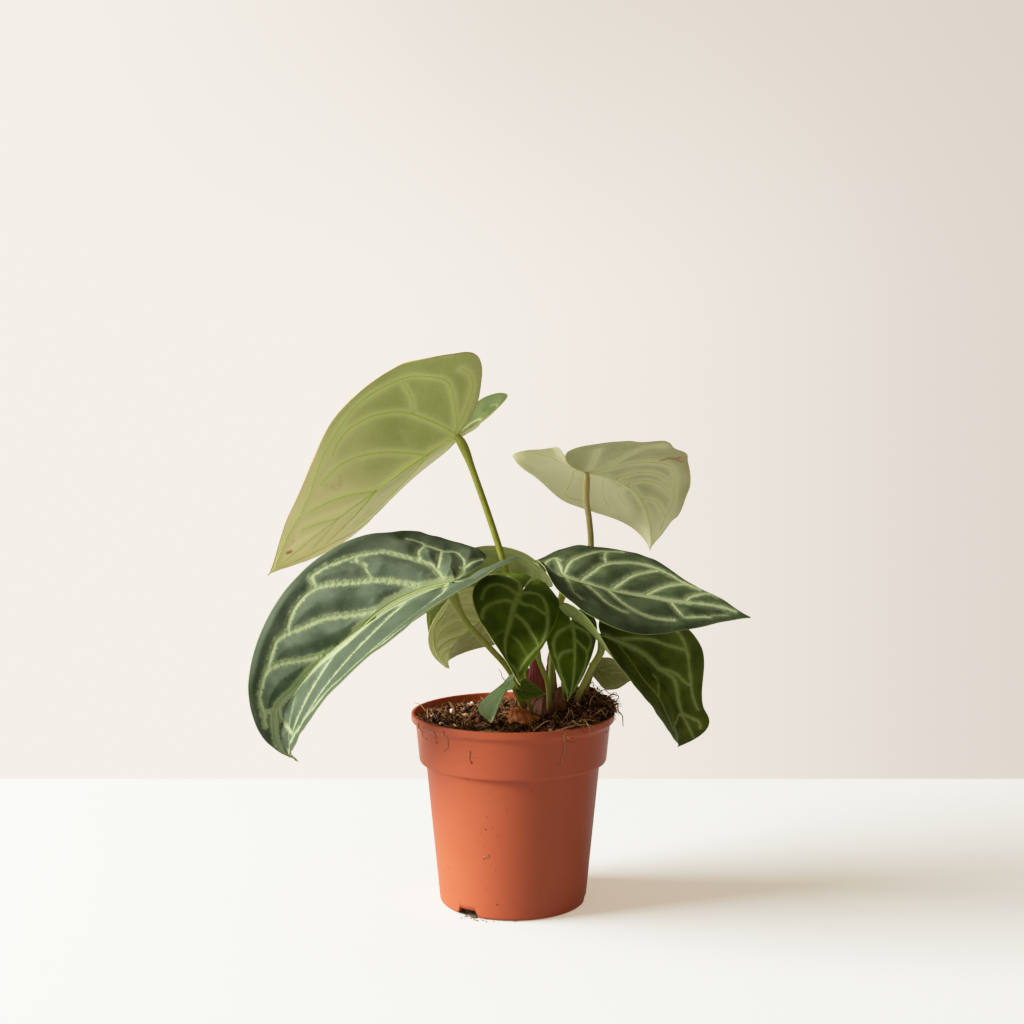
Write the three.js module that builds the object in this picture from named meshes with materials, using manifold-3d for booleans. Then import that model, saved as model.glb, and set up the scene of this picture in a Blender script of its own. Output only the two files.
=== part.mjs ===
// A velvet-leaved aroid house plant, twelve leaves on long stems, in its plastic nursery pot.
// Millimetres, +Z up. The front faces -Y, X runs to the right, and the pot stands on z = 0
// with its axis on the Z axis.
import * as THREE from 'three';
import { mergeVertices } from 'three/addons/utils/BufferGeometryUtils.js';
import Module from 'manifold-3d';

const wasm = await Module();
wasm.setup();

// ---------------------------------------------------------------- driving dimensions

const DEG = Math.PI / 180;
const GAP = 0.45; // how far a hole stands off the piece in it
const WIDE_GAP = 0.63; // the same, round a thin or curved piece
const WELD = 1e-3; // points closer than this are one

const POT = {
  rimRadius: 60,
  height: 113,
  wall: 1.3,
  floor: 1.6,
  segments: 60,
  baseRadius: 43.4,
  cornerRadius: 2.6,
  bodyTop: { radius: 51.3, z: 83.5 },
  collarBottom: { radius: 55.3, z: 85.6 },
  collarTop: { radius: 57.3, z: 106.5 },
  lipHeight: 4,
  lipRound: 0.8,
  lipWall: 1.8,
  ledge: { radius: 0.6, z: 1.2 }, // the bevel below the collar
};

const NOTCH = { angles: [-37, 83, 203], width: 17, topWidth: 11, height: 4.6, reach: 9, below: 1 };

const SOIL = {
  level: 108,
  heap: { x: 40, y: 8, height: 15, spreadX: 24, spreadY: 26 },
  shoulder: 50, // outside this radius the heap falls away to the wall
  wallShare: 0.5, // the share of the heap's height that is lost at the wall
  rings: 8,
  segments: 40,
};

// The stub that all the stems grow from; outline is radius and height, from its foot to its top.
const CROWN = {
  x: 20, y: -4, segments: 20,
  outline: [[12, 106], [15, 112], [13.5, 117], [8.3, 123], [0, 126]],
};

const BLADE_THICKNESS = 0.8;
const BLADE_CLEARANCE = 2.2; // the thickness of blade that a stem is cut back from
const STEM_SHORT = 1.8; // how far below its blade a stem ends
const STEM_SIDES = 8;
const STEM_STEP = 8; // length of one straight piece of a stem

// ---------------------------------------------------------------- leaves

// The flat outline of half a blade, from the stem round the lobe to the tip.
// x is in blade lengths along the midrib, y in half widths.
const HALF_OUTLINE = new THREE.SplineCurve([
  [0, 0], [-0.10, 0.05], [-0.22, 0.15], [-0.31, 0.34], [-0.30, 0.60], [-0.19, 0.84], [-0.02, 0.97],
  [0.17, 1.0], [0.38, 0.90], [0.58, 0.69], [0.76, 0.41], [0.90, 0.16], [1.0, 0.0],
].map(([x, y]) => new THREE.Vector2(x, y)));
const FAN = 0.10; // the part of the outline whose ribs all start at the stem
const REACH_STATIONS = [-0.3, 0.1, 0.4, 0.7, 0.95]; // where the five reaches are given
const LOBE_REACH = 0.35; // how far the lobes run back, in lengths
const BEND_POWER = 1.3; // a blade droops more towards its tip
const CURL_WIDTH = 0.45; // the width that the curl angle is given for, in lengths
const FLAT = 1e-6; // stands for a curl of nought, which is divided by

// base: where the stem meets the blade. heading, pitch and roll (degrees) aim the midrib there.
// droop bends it down along its length, sway turns it to its left and twist rolls it.
// For each side: reach is the half width at the five stations, fold how far the side rises from
// flat at the lobe, the stem and the tip, curl how much it cups at the stem and the tip,
// drop how far the lobe hangs and lobe its length against the plain outline.
const LEAVES = [
  {
    name: 'tall_left', cells: [20, 5], base: [-33, 18, 275],
    heading: 180, pitch: -33, roll: 43, length: 138, droop: 17, sway: 7, twist: 13,
    left: { reach: [68, 61, 59, 51, 62], fold: [-3, 33, 26], curl: [-31, -13], drop: -53, lobe: 0.87 },
    right: { reach: [69, 54, 64, 59, 61], fold: [34, 25, 20], curl: [52, 6], drop: -16, lobe: 0.98 },
    stem: { radius: 2.0, points: [[12, 6, 108], [5, 11, 150], [-6, 14, 201], [-25.5, 16.5, 259]] },
  },
  {
    name: 'big_left', cells: [20, 5], base: [-35.6, -22, 192],
    heading: 197, pitch: -18, roll: -43, length: 191, droop: 110, sway: 0, twist: -43,
    left: { reach: [62, 56, 52, 52, 49], fold: [49, 41, 30], curl: [32, 57], drop: -11, lobe: 0.66 },
    right: { reach: [75, 59, 51, 43, 38], fold: [-35, -3, 53], curl: [-45, -28], drop: 39, lobe: 0.61 },
    stem: {
      radius: 1.8,
      points: [
        [6, -8, 106], [3.5, -8, 127], [-3.5, -10, 141], [-13.3, -14, 153], [-27.6, -20, 170], [-35, -22, 186],
      ],
    },
  },
  {
    name: 'big_right', cells: [20, 5], base: [30, -25, 195],
    heading: -7, pitch: -12, roll: 16, length: 106, droop: -5, sway: -5, twist: 14,
    left: { reach: [47, 48, 45, 32, 44], fold: [-16, 14, 8], curl: [-22, -6], drop: -2, lobe: 0.64 },
    right: { reach: [45, 46, 49, 44, 41], fold: [42, 17, 1], curl: [-7, -43], drop: -47, lobe: 0.65 },
    stem: { radius: 1.9, points: [[22, -4, 110], [23, -4, 145], [26, -10, 172], [29, -20, 187]] },
  },
  {
    name: 'tall_right', cells: [20, 5], base: [44.5, 35, 252],
    heading: 44, pitch: -4, roll: -8, length: 109, droop: 63, sway: 31, twist: -17,
    left: { reach: [60, 50, 51, 52, 45], fold: [41, 24, 3], curl: [-33, -68], drop: -100, lobe: 1.0 },
    right: { reach: [47, 44, 48, 48, 44], fold: [20, 25, 12], curl: [-7, 7], drop: -16, lobe: 1.0 },
    stem: {
      radius: 1.9,
      points: [
        [34, 8, 110], [39, 19, 150], [46, 33, 190], [47.4, 36, 208], [46.3, 36.5, 223], [44.4, 36, 236],
      ],
    },
  },
  {
    name: 'front_heart', cells: [14, 4], base: [4.5, -34, 188],
    heading: 239, pitch: -35, roll: -20, length: 74, droop: -11, sway: 48, twist: -25,
    left: { reach: [22, 25, 27, 31, 34], fold: [-20, 10, 28], curl: [-32, -6], drop: 44, lobe: 1.03 },
    right: { reach: [25, 25, 23, 23, 29], fold: [-7, 13, 42], curl: [-31, 16], drop: 44, lobe: 0.97 },
    stem: { radius: 1.5, points: [[21, -16, 108], [20.4, -18, 131], [14.7, -21, 148], [9, -26, 170]] },
  },
  {
    name: 'front_slim', cells: [14, 4], base: [33.4, -20, 169.5],
    heading: -72, pitch: -69, roll: -25, length: 46, droop: 24, sway: -6, twist: -2,
    left: { reach: [19, 20, 18, 18, 19], fold: [14, 12, -4], curl: [-17, -25], drop: -8, lobe: 0.51 },
    right: { reach: [17, 18, 19, 20, 20], fold: [-4, 0, -3], curl: [-28, -17], drop: 34, lobe: 0.64 },
    stem: { radius: 1.3, points: [[27, -11, 110], [30, -12, 138], [33, -16, 158]] },
  },
  {
    name: 'low_right', cells: [16, 4], base: [51, -14, 161],
    heading: 11, pitch: -33, roll: 44, length: 110, droop: 66, sway: 5, twist: 40,
    left: { reach: [26, 32, 38, 32, 90], fold: [37, 58, 47], curl: [26, -59], drop: -19, lobe: 0.2 },
    right: { reach: [50, 45, 37, 36, 40], fold: [50, 18, 26], curl: [33, 15], drop: 6, lobe: 0.98 },
    stem: { radius: 1.8, points: [[36, -8, 110], [38, -10, 123], [45.6, -13, 141], [51, -14, 151]] },
  },
  {
    name: 'back_left', cells: [14, 4], base: [-13.7, 18, 167.6],
    heading: 181, pitch: -30, roll: 62, length: 51, droop: 93, sway: 5, twist: 5,
    left: { reach: [23, 24, 23, 27, 26], fold: [19, 18, 61], curl: [-23, 1], drop: -13, lobe: 0.3 },
    right: { reach: [23, 24, 22, 20, 21], fold: [9, 16, 59], curl: [-28, 15], drop: 0, lobe: 0.56 },
    stem: { radius: 1.4, points: [[9, -1, 108], [4, 4, 138], [-5, 10, 156]] },
  },
  {
    name: 'back_centre', cells: [14, 4], base: [3, 50, 179.7],
    heading: 191, pitch: -3, roll: 54, length: 72, droop: 65, sway: -6, twist: 38,
    left: { reach: [29, 31, 34, 33, 34], fold: [-15, 11, 24], curl: [-19, 3], drop: 50, lobe: 1.04 },
    right: { reach: [34, 31, 30, 35, 36], fold: [-4, 7, 4], curl: [7, 2], drop: 20, lobe: 0.45 },
    stem: { radius: 1.6, points: [[18, 12, 108], [15, 28, 145], [8, 41, 168]] },
  },
  {
    name: 'young_folded', cells: [10, 3], base: [-1.2, -32, 136.5],
    heading: 169, pitch: -50, roll: -83, length: 33, droop: 49, sway: 17, twist: 2,
    left: { reach: [16, 15, 14, 14, 14], fold: [27, 65, 40], curl: [33, 10], drop: -60, lobe: 0.4 },
    right: { reach: [15, 15, 15, 16, 15], fold: [65, 67, 39], curl: [49, 5], drop: -41, lobe: 0.81 },
    stem: { radius: 1.2, points: [[9, -16, 108], [7, -18, 117], [4.5, -23, 123], [1.5, -28.5, 130]] },
  },
  {
    name: 'young_small', cells: [10, 3], base: [4.6, -30, 131.5],
    heading: 10, pitch: -17, roll: 51, length: 15, droop: -22, sway: 4, twist: -2,
    left: { reach: [7, 7, 6, 6, 6], fold: [43, 33, 14], curl: [8, -13], drop: -46, lobe: 1.04 },
    right: { reach: [7, 7, 6, 6, 6], fold: [35, 13, 15], curl: [-18, -8], drop: -27, lobe: 0.99 },
    stem: { radius: 1.0, points: [[13, -20, 108], [10, -24, 120], [7, -28, 127]] },
  },
  {
    name: 'back_right', cells: [10, 3], base: [48.5, 16, 135.3],
    heading: 39, pitch: -15, roll: 87, length: 32, droop: -2, sway: -9, twist: -2,
    left: { reach: [12, 11, 10, 10, 12], fold: [44, 41, 17], curl: [13, -8], drop: -28, lobe: 0.97 },
    right: { reach: [14, 14, 13, 14, 15], fold: [48, 36, 18], curl: [14, -18], drop: -37, lobe: 0.92 },
    stem: { radius: 1.2, points: [[40, 4, 112], [43, 9, 122], [46, 13, 130]] },
  },
];

// Dry scales that once wrapped a stem. foot and tip are on the outer face, turn is the way
// that it faces (degrees from +X), and wrap the radius that it is curved to.
const SCALES = [
  { name: 'red', foot: [13, -11, 116], tip: [13, -9, 149], turn: -100, width: 12, wrap: 6.5 },
  { name: 'pink', foot: [24, 3, 117], tip: [22, 3, 150], turn: -60, width: 10, wrap: 6 },
  { name: 'brown', foot: [29, -14.5, 113], tip: [27, -12.5, 130], turn: -70, width: 11, wrap: 6 },
  { name: 'papery', foot: [6, -26, 108], tip: [2, -22, 121], turn: -105, width: 22, wrap: 13 },
];
const SCALE_THICKNESS = 0.7;
const SCALE_CELLS = [7, 3]; // cells up its height and across each half
const SCALE_TAPER = 0.7; // below 1 it stays wide further up

// ---------------------------------------------------------------- solids and their booleans

function toManifold(geometry) {
  const bare = geometry.clone();
  for (const key of Object.keys(bare.attributes)) {
    if (key !== 'position') bare.deleteAttribute(key);
  }
  const merged = mergeVertices(bare, WELD / 10);
  return new wasm.Manifold(new wasm.Mesh({
    numProp: 3,
    vertProperties: new Float32Array(merged.attributes.position.array),
    triVerts: new Uint32Array(merged.index.array),
  }));
}

function toGeometry(manifold) {
  const mesh = manifold.getMesh();
  const geometry = new THREE.BufferGeometry();
  const corners = Float32Array.from(mesh.vertProperties);
  geometry.setAttribute('position', new THREE.BufferAttribute(corners, 3));
  geometry.setIndex(new THREE.BufferAttribute(Uint32Array.from(mesh.triVerts), 1));
  geometry.computeVertexNormals();
  return geometry;
}

function subtractAll(solid, cutters) {
  return cutters.reduce((rest, cutter) => rest.subtract(cutter), solid);
}

function largestPiece(solid) {
  return solid.decompose().reduce((best, piece) => (piece.volume() > best.volume() ? piece : best));
}

// ---------------------------------------------------------------- sheets made into thin solids

// A sheet is a list of flat points with the triangles between them; points that fall
// together in 3-D are one vertex.
function thicken(points, triangles, thickness) {
  const flat = new THREE.BufferGeometry();
  flat.setFromPoints(points);
  flat.setIndex(triangles.flat());
  const sheet = mergeVertices(flat, WELD);
  const faces = dropCollapsed(sheet.index.array);
  sheet.setIndex(faces.flat());
  sheet.computeVertexNormals();
  const count = sheet.attributes.position.count;
  const position = new THREE.Vector3();
  const normal = new THREE.Vector3();
  const layers = [1, -1].map((side) => {
    const layer = [];
    for (let i = 0; i < count; i += 1) {
      position.fromBufferAttribute(sheet.attributes.position, i);
      normal.fromBufferAttribute(sheet.attributes.normal, i);
      layer.push(position.clone().addScaledVector(normal, side * thickness / 2));
    }
    return layer;
  });
  const index = [...faces, ...faces.map(([a, b, c]) => [a + count, c + count, b + count])];
  for (const [a, b] of openEdges(faces)) {
    index.push([b, a, a + count], [b, a + count, b + count]);
  }
  const solid = new THREE.BufferGeometry().setFromPoints(layers.flat());
  solid.setIndex(index.flat());
  return solid;
}

function dropCollapsed(index) {
  const faces = [];
  for (let i = 0; i < index.length; i += 3) {
    const [a, b, c] = [index[i], index[i + 1], index[i + 2]];
    if (a !== b && b !== c && c !== a) faces.push([a, b, c]);
  }
  return faces;
}

function openEdges(faces) {
  const seen = new Set();
  const edges = faces.flatMap(([a, b, c]) => [[a, b], [b, c], [c, a]]);
  for (const [a, b] of edges) seen.add(`${a}_${b}`);
  return edges.filter(([a, b]) => !seen.has(`${b}_${a}`));
}

// The triangles of a grid of (rows + 1) x (columns + 1) points, turned over where flip is set.
function gridTriangles(rows, columns, start, flip) {
  const triangles = [];
  for (let i = 0; i < rows; i += 1) {
    for (let j = 0; j < columns; j += 1) {
      const a = start + i * (columns + 1) + j;
      const b = a + columns + 1;
      const quad = [[a, b, b + 1], [a, b + 1, a + 1]];
      triangles.push(...(flip ? quad.map(([p, q, r]) => [p, r, q]) : quad));
    }
  }
  return triangles;
}

// ---------------------------------------------------------------- leaf blades

// Unit vectors at x along the blade: along the midrib, out to its left and up from its face.
function bladeFrame(leaf, side, x) {
  const heading = leaf.heading * DEG;
  const pitch = leaf.pitch * DEG;
  const along = new THREE.Vector3(
    Math.cos(pitch) * Math.cos(heading), Math.cos(pitch) * Math.sin(heading), Math.sin(pitch));
  const left = new THREE.Vector3(-Math.sin(heading), Math.cos(heading), 0);
  left.applyAxisAngle(along, leaf.roll * DEG);
  const up = new THREE.Vector3().crossVectors(along, left);
  const ahead = Math.max(x, 0);
  const bend = leaf.droop * ahead ** BEND_POWER + leaf[side].drop * Math.min(x, 0) / LOBE_REACH;
  turnPair(along, up, -bend * DEG);
  turnPair(along, left, leaf.sway * ahead * DEG);
  turnPair(left, up, leaf.twist * ahead * DEG);
  return { along, left, up };
}

// Turns two unit vectors in their own plane, the first towards the second.
function turnPair(first, second, angle) {
  const turned = first.clone().multiplyScalar(Math.cos(angle)).addScaledVector(second, Math.sin(angle));
  second.multiplyScalar(Math.cos(angle)).addScaledVector(first, -Math.sin(angle));
  first.copy(turned);
}

// The midrib as a table of places at even steps of x.
const MIDRIB = { from: -0.5, steps: 300, stem: 100 };
const MIDRIB_STEP = (1 - MIDRIB.from) / MIDRIB.steps;

function midribPlaces(leaf, side) {
  const places = [new THREE.Vector3()];
  for (let i = 0; i < MIDRIB.steps; i += 1) {
    const middle = MIDRIB.from + (i + 0.5) * MIDRIB_STEP;
    const { along } = bladeFrame(leaf, side, middle);
    places.push(places[i].clone().addScaledVector(along, MIDRIB_STEP * leaf.length));
  }
  const stem = places[MIDRIB.stem].clone();
  return places.map((place) => place.sub(stem));
}

function placeAt(places, x) {
  const spot = (x - MIDRIB.from) / MIDRIB_STEP;
  const i = Math.min(Math.floor(spot), MIDRIB.steps - 1);
  return places[i].clone().lerp(places[i + 1], spot - i);
}

function reachAt(reach, x) {
  const last = REACH_STATIONS.length - 1;
  const inside = THREE.MathUtils.clamp(x, REACH_STATIONS[0], REACH_STATIONS[last]);
  const i = Math.min(REACH_STATIONS.findLastIndex((station) => station <= inside), last - 1);
  const mix = THREE.MathUtils.smoothstep(inside, REACH_STATIONS[i], REACH_STATIONS[i + 1]);
  return THREE.MathUtils.lerp(reach[i], reach[i + 1], mix);
}

// A point of the blade: x in lengths along the midrib, y in half widths out from it.
function bladePoint(leaf, side, places, x, y) {
  const shape = leaf[side];
  const sign = side === 'left' ? 1 : -1;
  const spot = x < 0 ? x * shape.lobe : x;
  const ahead = Math.max(spot, 0);
  const behind = Math.min(Math.max(-spot / LOBE_REACH, 0), 1);
  const [lobeFold, stemFold, tipFold] = shape.fold;
  const fold = (stemFold + (tipFold - stemFold) * ahead + (lobeFold - stemFold) * behind) * DEG;
  const curl = (shape.curl[0] + (shape.curl[1] - shape.curl[0]) * ahead) * DEG;
  const bend = (curl || FLAT) / (CURL_WIDTH * leaf.length);
  const out = y * reachAt(shape.reach, x);
  const lateral = (Math.sin(fold + bend * out) - Math.sin(fold)) / bend;
  const rise = (Math.cos(fold) - Math.cos(fold + bend * out)) / bend;
  const { left, up } = bladeFrame(leaf, side, spot);
  return new THREE.Vector3(...leaf.base).add(placeAt(places, spot))
    .addScaledVector(left, sign * lateral).addScaledVector(up, rise);
}

function bladeSheet(leaf) {
  const [columns, rows] = leaf.cells;
  const points = [];
  const triangles = [];
  for (const side of ['left', 'right']) {
    const places = midribPlaces(leaf, side);
    triangles.push(...gridTriangles(columns, rows, points.length, side === 'right'));
    for (let i = 0; i <= columns; i += 1) {
      const edge = HALF_OUTLINE.getPoint(i / columns);
      const inner = Math.max(0, (edge.x - FAN) / (1 - FAN));
      for (let j = 0; j <= rows; j += 1) {
        const out = j / rows;
        const x = THREE.MathUtils.lerp(inner, edge.x, out);
        points.push(bladePoint(leaf, side, places, x, edge.y * out));
      }
    }
  }
  return { points, triangles };
}

function bladeGeometry(leaf, thickness) {
  const { points, triangles } = bladeSheet(leaf);
  return thicken(points, triangles, thickness);
}

// ---------------------------------------------------------------- stems

function tube(points, radius) {
  const places = points.map((point) => new THREE.Vector3(...point));
  const curve = new THREE.CatmullRomCurve3(places, false, 'centripetal');
  const section = new THREE.Shape().absarc(0, 0, radius, 0, 2 * Math.PI);
  return new THREE.ExtrudeGeometry(section, {
    extrudePath: curve,
    steps: Math.ceil(curve.getLength() / STEM_STEP),
    curveSegments: STEM_SIDES / 2, // three.js gives a full circle twice this many
  });
}

// The stem's points, up to just under its blade.
function stemPoints(leaf) {
  const base = new THREE.Vector3(...leaf.base);
  const below = new THREE.Vector3(...leaf.stem.points.at(-1));
  const end = base.clone().lerp(below, STEM_SHORT / base.distanceTo(below));
  return [...leaf.stem.points, end.toArray()];
}

function stemSolid(leaf) {
  const whole = toManifold(tube(stemPoints(leaf), leaf.stem.radius));
  const clearance = toManifold(bladeGeometry(leaf, BLADE_CLEARANCE));
  return largestPiece(whole.subtract(clearance));
}

// The hole that a stem stands in: the same tube, a little wider and deeper.
function socketSolid(leaf) {
  const radius = (leaf.stem.radius + GAP) / Math.cos(Math.PI / STEM_SIDES);
  const wide = tube(stemPoints(leaf), radius);
  const lower = wide.clone().translate(0, 0, -GAP);
  return toManifold(wide).add(toManifold(lower));
}

// ---------------------------------------------------------------- scales and crown

// A scale is a pointed sheet, curved round an upright axis behind its outer face.
function scaleGeometry(scale, grow) {
  const [rows, half] = SCALE_CELLS;
  const foot = new THREE.Vector3(...scale.foot).setZ(scale.foot[2] - grow);
  const tip = new THREE.Vector3(...scale.tip);
  const out = new THREE.Vector3(Math.cos(scale.turn * DEG), Math.sin(scale.turn * DEG), 0);
  const across = new THREE.Vector3(-out.y, out.x, 0);
  const points = [];
  for (let i = 0; i <= rows; i += 1) {
    const height = i / rows;
    const halfWidth = grow + scale.width / 2 * Math.cos(height * Math.PI / 2) ** SCALE_TAPER;
    for (let j = -half; j <= half; j += 1) {
      const angle = (j / half) * halfWidth / scale.wrap;
      points.push(foot.clone().lerp(tip, height)
        .addScaledVector(across, scale.wrap * Math.sin(angle))
        .addScaledVector(out, scale.wrap * (Math.cos(angle) - 1)));
    }
  }
  return thicken(points, gridTriangles(rows, 2 * half, 0, true), SCALE_THICKNESS + 2 * grow);
}

// Grown all round, it is the hollow that the crown sits in.
function crownGeometry(grow) {
  const { outline, segments } = CROWN;
  const wider = outline.map(([radius, z]) => [radius + grow, z]);
  wider[0][1] -= grow;
  const profile = [[0, wider[0][1]], ...wider.slice(0, -1), [0, outline.at(-1)[1] + grow]];
  return new THREE.LatheGeometry(profile.map(([radius, z]) => new THREE.Vector2(radius, z)), segments)
    .rotateX(Math.PI / 2).translate(CROWN.x, CROWN.y, 0);
}

// ---------------------------------------------------------------- soil

function soilHeight(x, y) {
  const { heap } = SOIL;
  const far = ((x - heap.x) / heap.spreadX) ** 2 + ((y - heap.y) / heap.spreadY) ** 2;
  const edge = THREE.MathUtils.smoothstep(Math.hypot(x, y), SOIL.shoulder, POT.rimRadius);
  return SOIL.level + heap.height * Math.exp(-far / 2) * (1 - SOIL.wallShare * edge);
}

// Rings of points from the middle of the floor, up the wall and in over the top.
function soilGeometry() {
  const wallRings = potInside().map(([radius, z]) => [radius - WIDE_GAP, z, false]);
  const rings = [[0, POT.floor + GAP, false], ...wallRings];
  const [outer] = rings.at(-1);
  for (let i = 0; i <= SOIL.rings; i += 1) rings.push([outer * (1 - i / SOIL.rings), 0, true]);
  const points = [];
  for (const [radius, z, isTop] of rings) {
    for (let j = 0; j <= SOIL.segments; j += 1) {
      const angle = (j / SOIL.segments) * 2 * Math.PI;
      const [x, y] = [radius * Math.cos(angle), radius * Math.sin(angle)];
      points.push(new THREE.Vector3(x, y, isTop ? soilHeight(x, y) : z));
    }
  }
  const geometry = new THREE.BufferGeometry().setFromPoints(points);
  geometry.setIndex(gridTriangles(rings.length - 1, SOIL.segments, 0, true).flat());
  const merged = mergeVertices(geometry, WELD);
  merged.setIndex(dropCollapsed(merged.index.array).flat());
  return merged;
}

// ---------------------------------------------------------------- pot

// The inner wall that the soil lies against, from the floor to just below the lip.
function potInside() {
  const { baseRadius, cornerRadius, bodyTop, collarBottom, collarTop, wall, floor } = POT;
  return [
    [baseRadius - cornerRadius - wall / 2, floor + GAP],
    [baseRadius - wall, floor + cornerRadius],
    [bodyTop.radius - wall, bodyTop.z],
    [collarBottom.radius - wall, collarBottom.z + wall],
    [collarTop.radius - wall, collarTop.z],
  ];
}

function potCorner() {
  const middle = { radius: POT.baseRadius - POT.cornerRadius, z: POT.cornerRadius };
  return [-90, -60, -30, 0].map((angle) => [
    middle.radius + POT.cornerRadius * Math.cos(angle * DEG),
    middle.z + POT.cornerRadius * Math.sin(angle * DEG),
  ]);
}

function potProfile() {
  const { rimRadius, height, floor, bodyTop, collarBottom, collarTop, ledge, lipRound, lipWall } = POT;
  const lipFoot = height - POT.lipHeight;
  const outside = [
    [0, 0], ...potCorner(), [bodyTop.radius, bodyTop.z],
    [collarBottom.radius - ledge.radius, collarBottom.z - ledge.z],
    [collarBottom.radius, collarBottom.z], [collarTop.radius, collarTop.z],
    [rimRadius - lipRound, lipFoot - lipRound / 2], [rimRadius, lipFoot + lipRound / 2],
    [rimRadius, height - lipRound], [rimRadius - lipRound, height],
  ];
  const lipInside = [
    [rimRadius - lipWall, height], [rimRadius - lipWall - lipRound / 2, height - lipRound],
  ];
  const inside = potInside().reverse();
  inside.at(-1)[1] = floor;
  return [...outside, ...lipInside, ...inside, [0, floor]].map(([r, z]) => new THREE.Vector2(r, z));
}

// A drain notch is cut through the bottom corner, wider at the foot than at the top.
function notchSolid(angle) {
  const { width, topWidth, height, reach, below } = NOTCH;
  const section = new THREE.Shape([
    [-width / 2, -below], [width / 2, -below], [width / 2, 0], [topWidth / 2, height],
    [-topWidth / 2, height], [-width / 2, 0],
  ].map(([x, y]) => new THREE.Vector2(x, y)));
  const geometry = new THREE.ExtrudeGeometry(section, { depth: 2 * reach, bevelEnabled: false })
    .rotateX(Math.PI / 2).translate(0, reach - POT.baseRadius, 0).rotateZ(angle * DEG);
  return toManifold(geometry);
}

function potSolid() {
  const shell = new THREE.LatheGeometry(potProfile(), POT.segments).rotateX(Math.PI / 2);
  return subtractAll(toManifold(shell), NOTCH.angles.map(notchSolid));
}

// ---------------------------------------------------------------- materials and assembly

function material(color, roughness) {
  return new THREE.MeshStandardMaterial({ color, roughness, metalness: 0 });
}

const MATERIAL = {
  terracotta: material(0xc07048, 0.55),
  soil: material(0x3a2a20, 1),
  crown: material(0x5a3a22, 0.9),
  stem: material(0x8f9a4c, 0.5),
  blade: material(0x35502c, 0.6),
  scale_red: material(0x8c3a34, 0.7),
  scale_pink: material(0xa85a4a, 0.7),
  scale_brown: material(0x7a4226, 0.8),
  scale_papery: material(0xa8692f, 0.9),
};

const plant = new THREE.Group();

function addPiece(name, geometry, look) {
  const mesh = new THREE.Mesh(geometry, look);
  mesh.name = name;
  plant.add(mesh);
}

const sockets = LEAVES.map(socketSolid);
const scaleClearance = SCALES.map((scale) => toManifold(scaleGeometry(scale, WIDE_GAP)));
const soilCutters = [toManifold(crownGeometry(GAP)), ...scaleClearance, ...sockets];
const soil = subtractAll(toManifold(soilGeometry()), soilCutters);
const crown = subtractAll(toManifold(crownGeometry(0)), [...scaleClearance, ...sockets]);

addPiece('pot', toGeometry(potSolid()), MATERIAL.terracotta);
addPiece('soil', toGeometry(soil), MATERIAL.soil);
addPiece('crown', toGeometry(crown), MATERIAL.crown);

for (const scale of SCALES) {
  const name = `scale_${scale.name}`;
  const cut = largestPiece(subtractAll(toManifold(scaleGeometry(scale, 0)), sockets));
  addPiece(name, toGeometry(cut), MATERIAL[name]);
}

for (const leaf of LEAVES) {
  addPiece(`stem_${leaf.name}`, toGeometry(stemSolid(leaf)), MATERIAL.stem);
  addPiece(`leaf_${leaf.name}`, bladeGeometry(leaf, BLADE_THICKNESS), MATERIAL.blade);
}

export default plant;
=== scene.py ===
"""A velvet-leaved aroid house plant, twelve leaves on long stems, in its plastic nursery pot.

The frame is in metres, +Z up; the front faces -Y and the pot stands on z = 0 with its axis on Z.
Shapes are worked out in millimetres and become metres in new_mesh.
"""
import math
from collections import namedtuple
from types import SimpleNamespace

import bpy
import numpy as np
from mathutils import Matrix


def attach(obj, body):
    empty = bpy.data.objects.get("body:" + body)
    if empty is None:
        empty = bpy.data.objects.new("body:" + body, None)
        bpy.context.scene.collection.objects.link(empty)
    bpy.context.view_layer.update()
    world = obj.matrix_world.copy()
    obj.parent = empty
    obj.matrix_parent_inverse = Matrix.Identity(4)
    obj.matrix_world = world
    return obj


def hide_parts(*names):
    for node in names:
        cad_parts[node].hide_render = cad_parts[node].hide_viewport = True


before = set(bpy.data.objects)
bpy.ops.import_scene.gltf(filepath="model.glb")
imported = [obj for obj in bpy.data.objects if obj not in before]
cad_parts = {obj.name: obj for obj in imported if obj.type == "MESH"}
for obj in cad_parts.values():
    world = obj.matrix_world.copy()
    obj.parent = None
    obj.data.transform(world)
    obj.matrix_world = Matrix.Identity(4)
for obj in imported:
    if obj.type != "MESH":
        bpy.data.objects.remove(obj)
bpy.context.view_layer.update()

MM = 0.001
SEED = 7

# ---------------------------------------------------------------- driving dimensions (mm, degrees)

POT = SimpleNamespace(
    rim=60.0, height=113.0, wall=1.3, floor=1.6, base=43.4, corner=2.6, body_top=(51.3, 83.5),
    ledge=(54.7, 84.4), collar_foot=(55.3, 85.6), collar_top=(57.3, 106.5), lip_height=4.0,
    lip_round=0.8, lip_wall=1.8)
OUTER_WALL = [POT.body_top, POT.ledge, POT.collar_foot, POT.collar_top,
              (POT.rim, POT.height - POT.lip_height), (POT.rim, POT.height)]
NOTCH = SimpleNamespace(angles=(-37, 83, 203), width=17.0, top=11.0, height=4.6, reach=9.0)
SOIL = SimpleNamespace(level=108.0, heap=(40.0, 8.0, 15.0), spread=(24.0, 26.0), shoulder=50.0,
                       wall_share=0.5, radius=56.1)
CROWN = SimpleNamespace(place=(20.0, -4.0),
                        outline=[(12, 106), (15, 112), (13.5, 117), (8.3, 123), (0, 126)])

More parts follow.
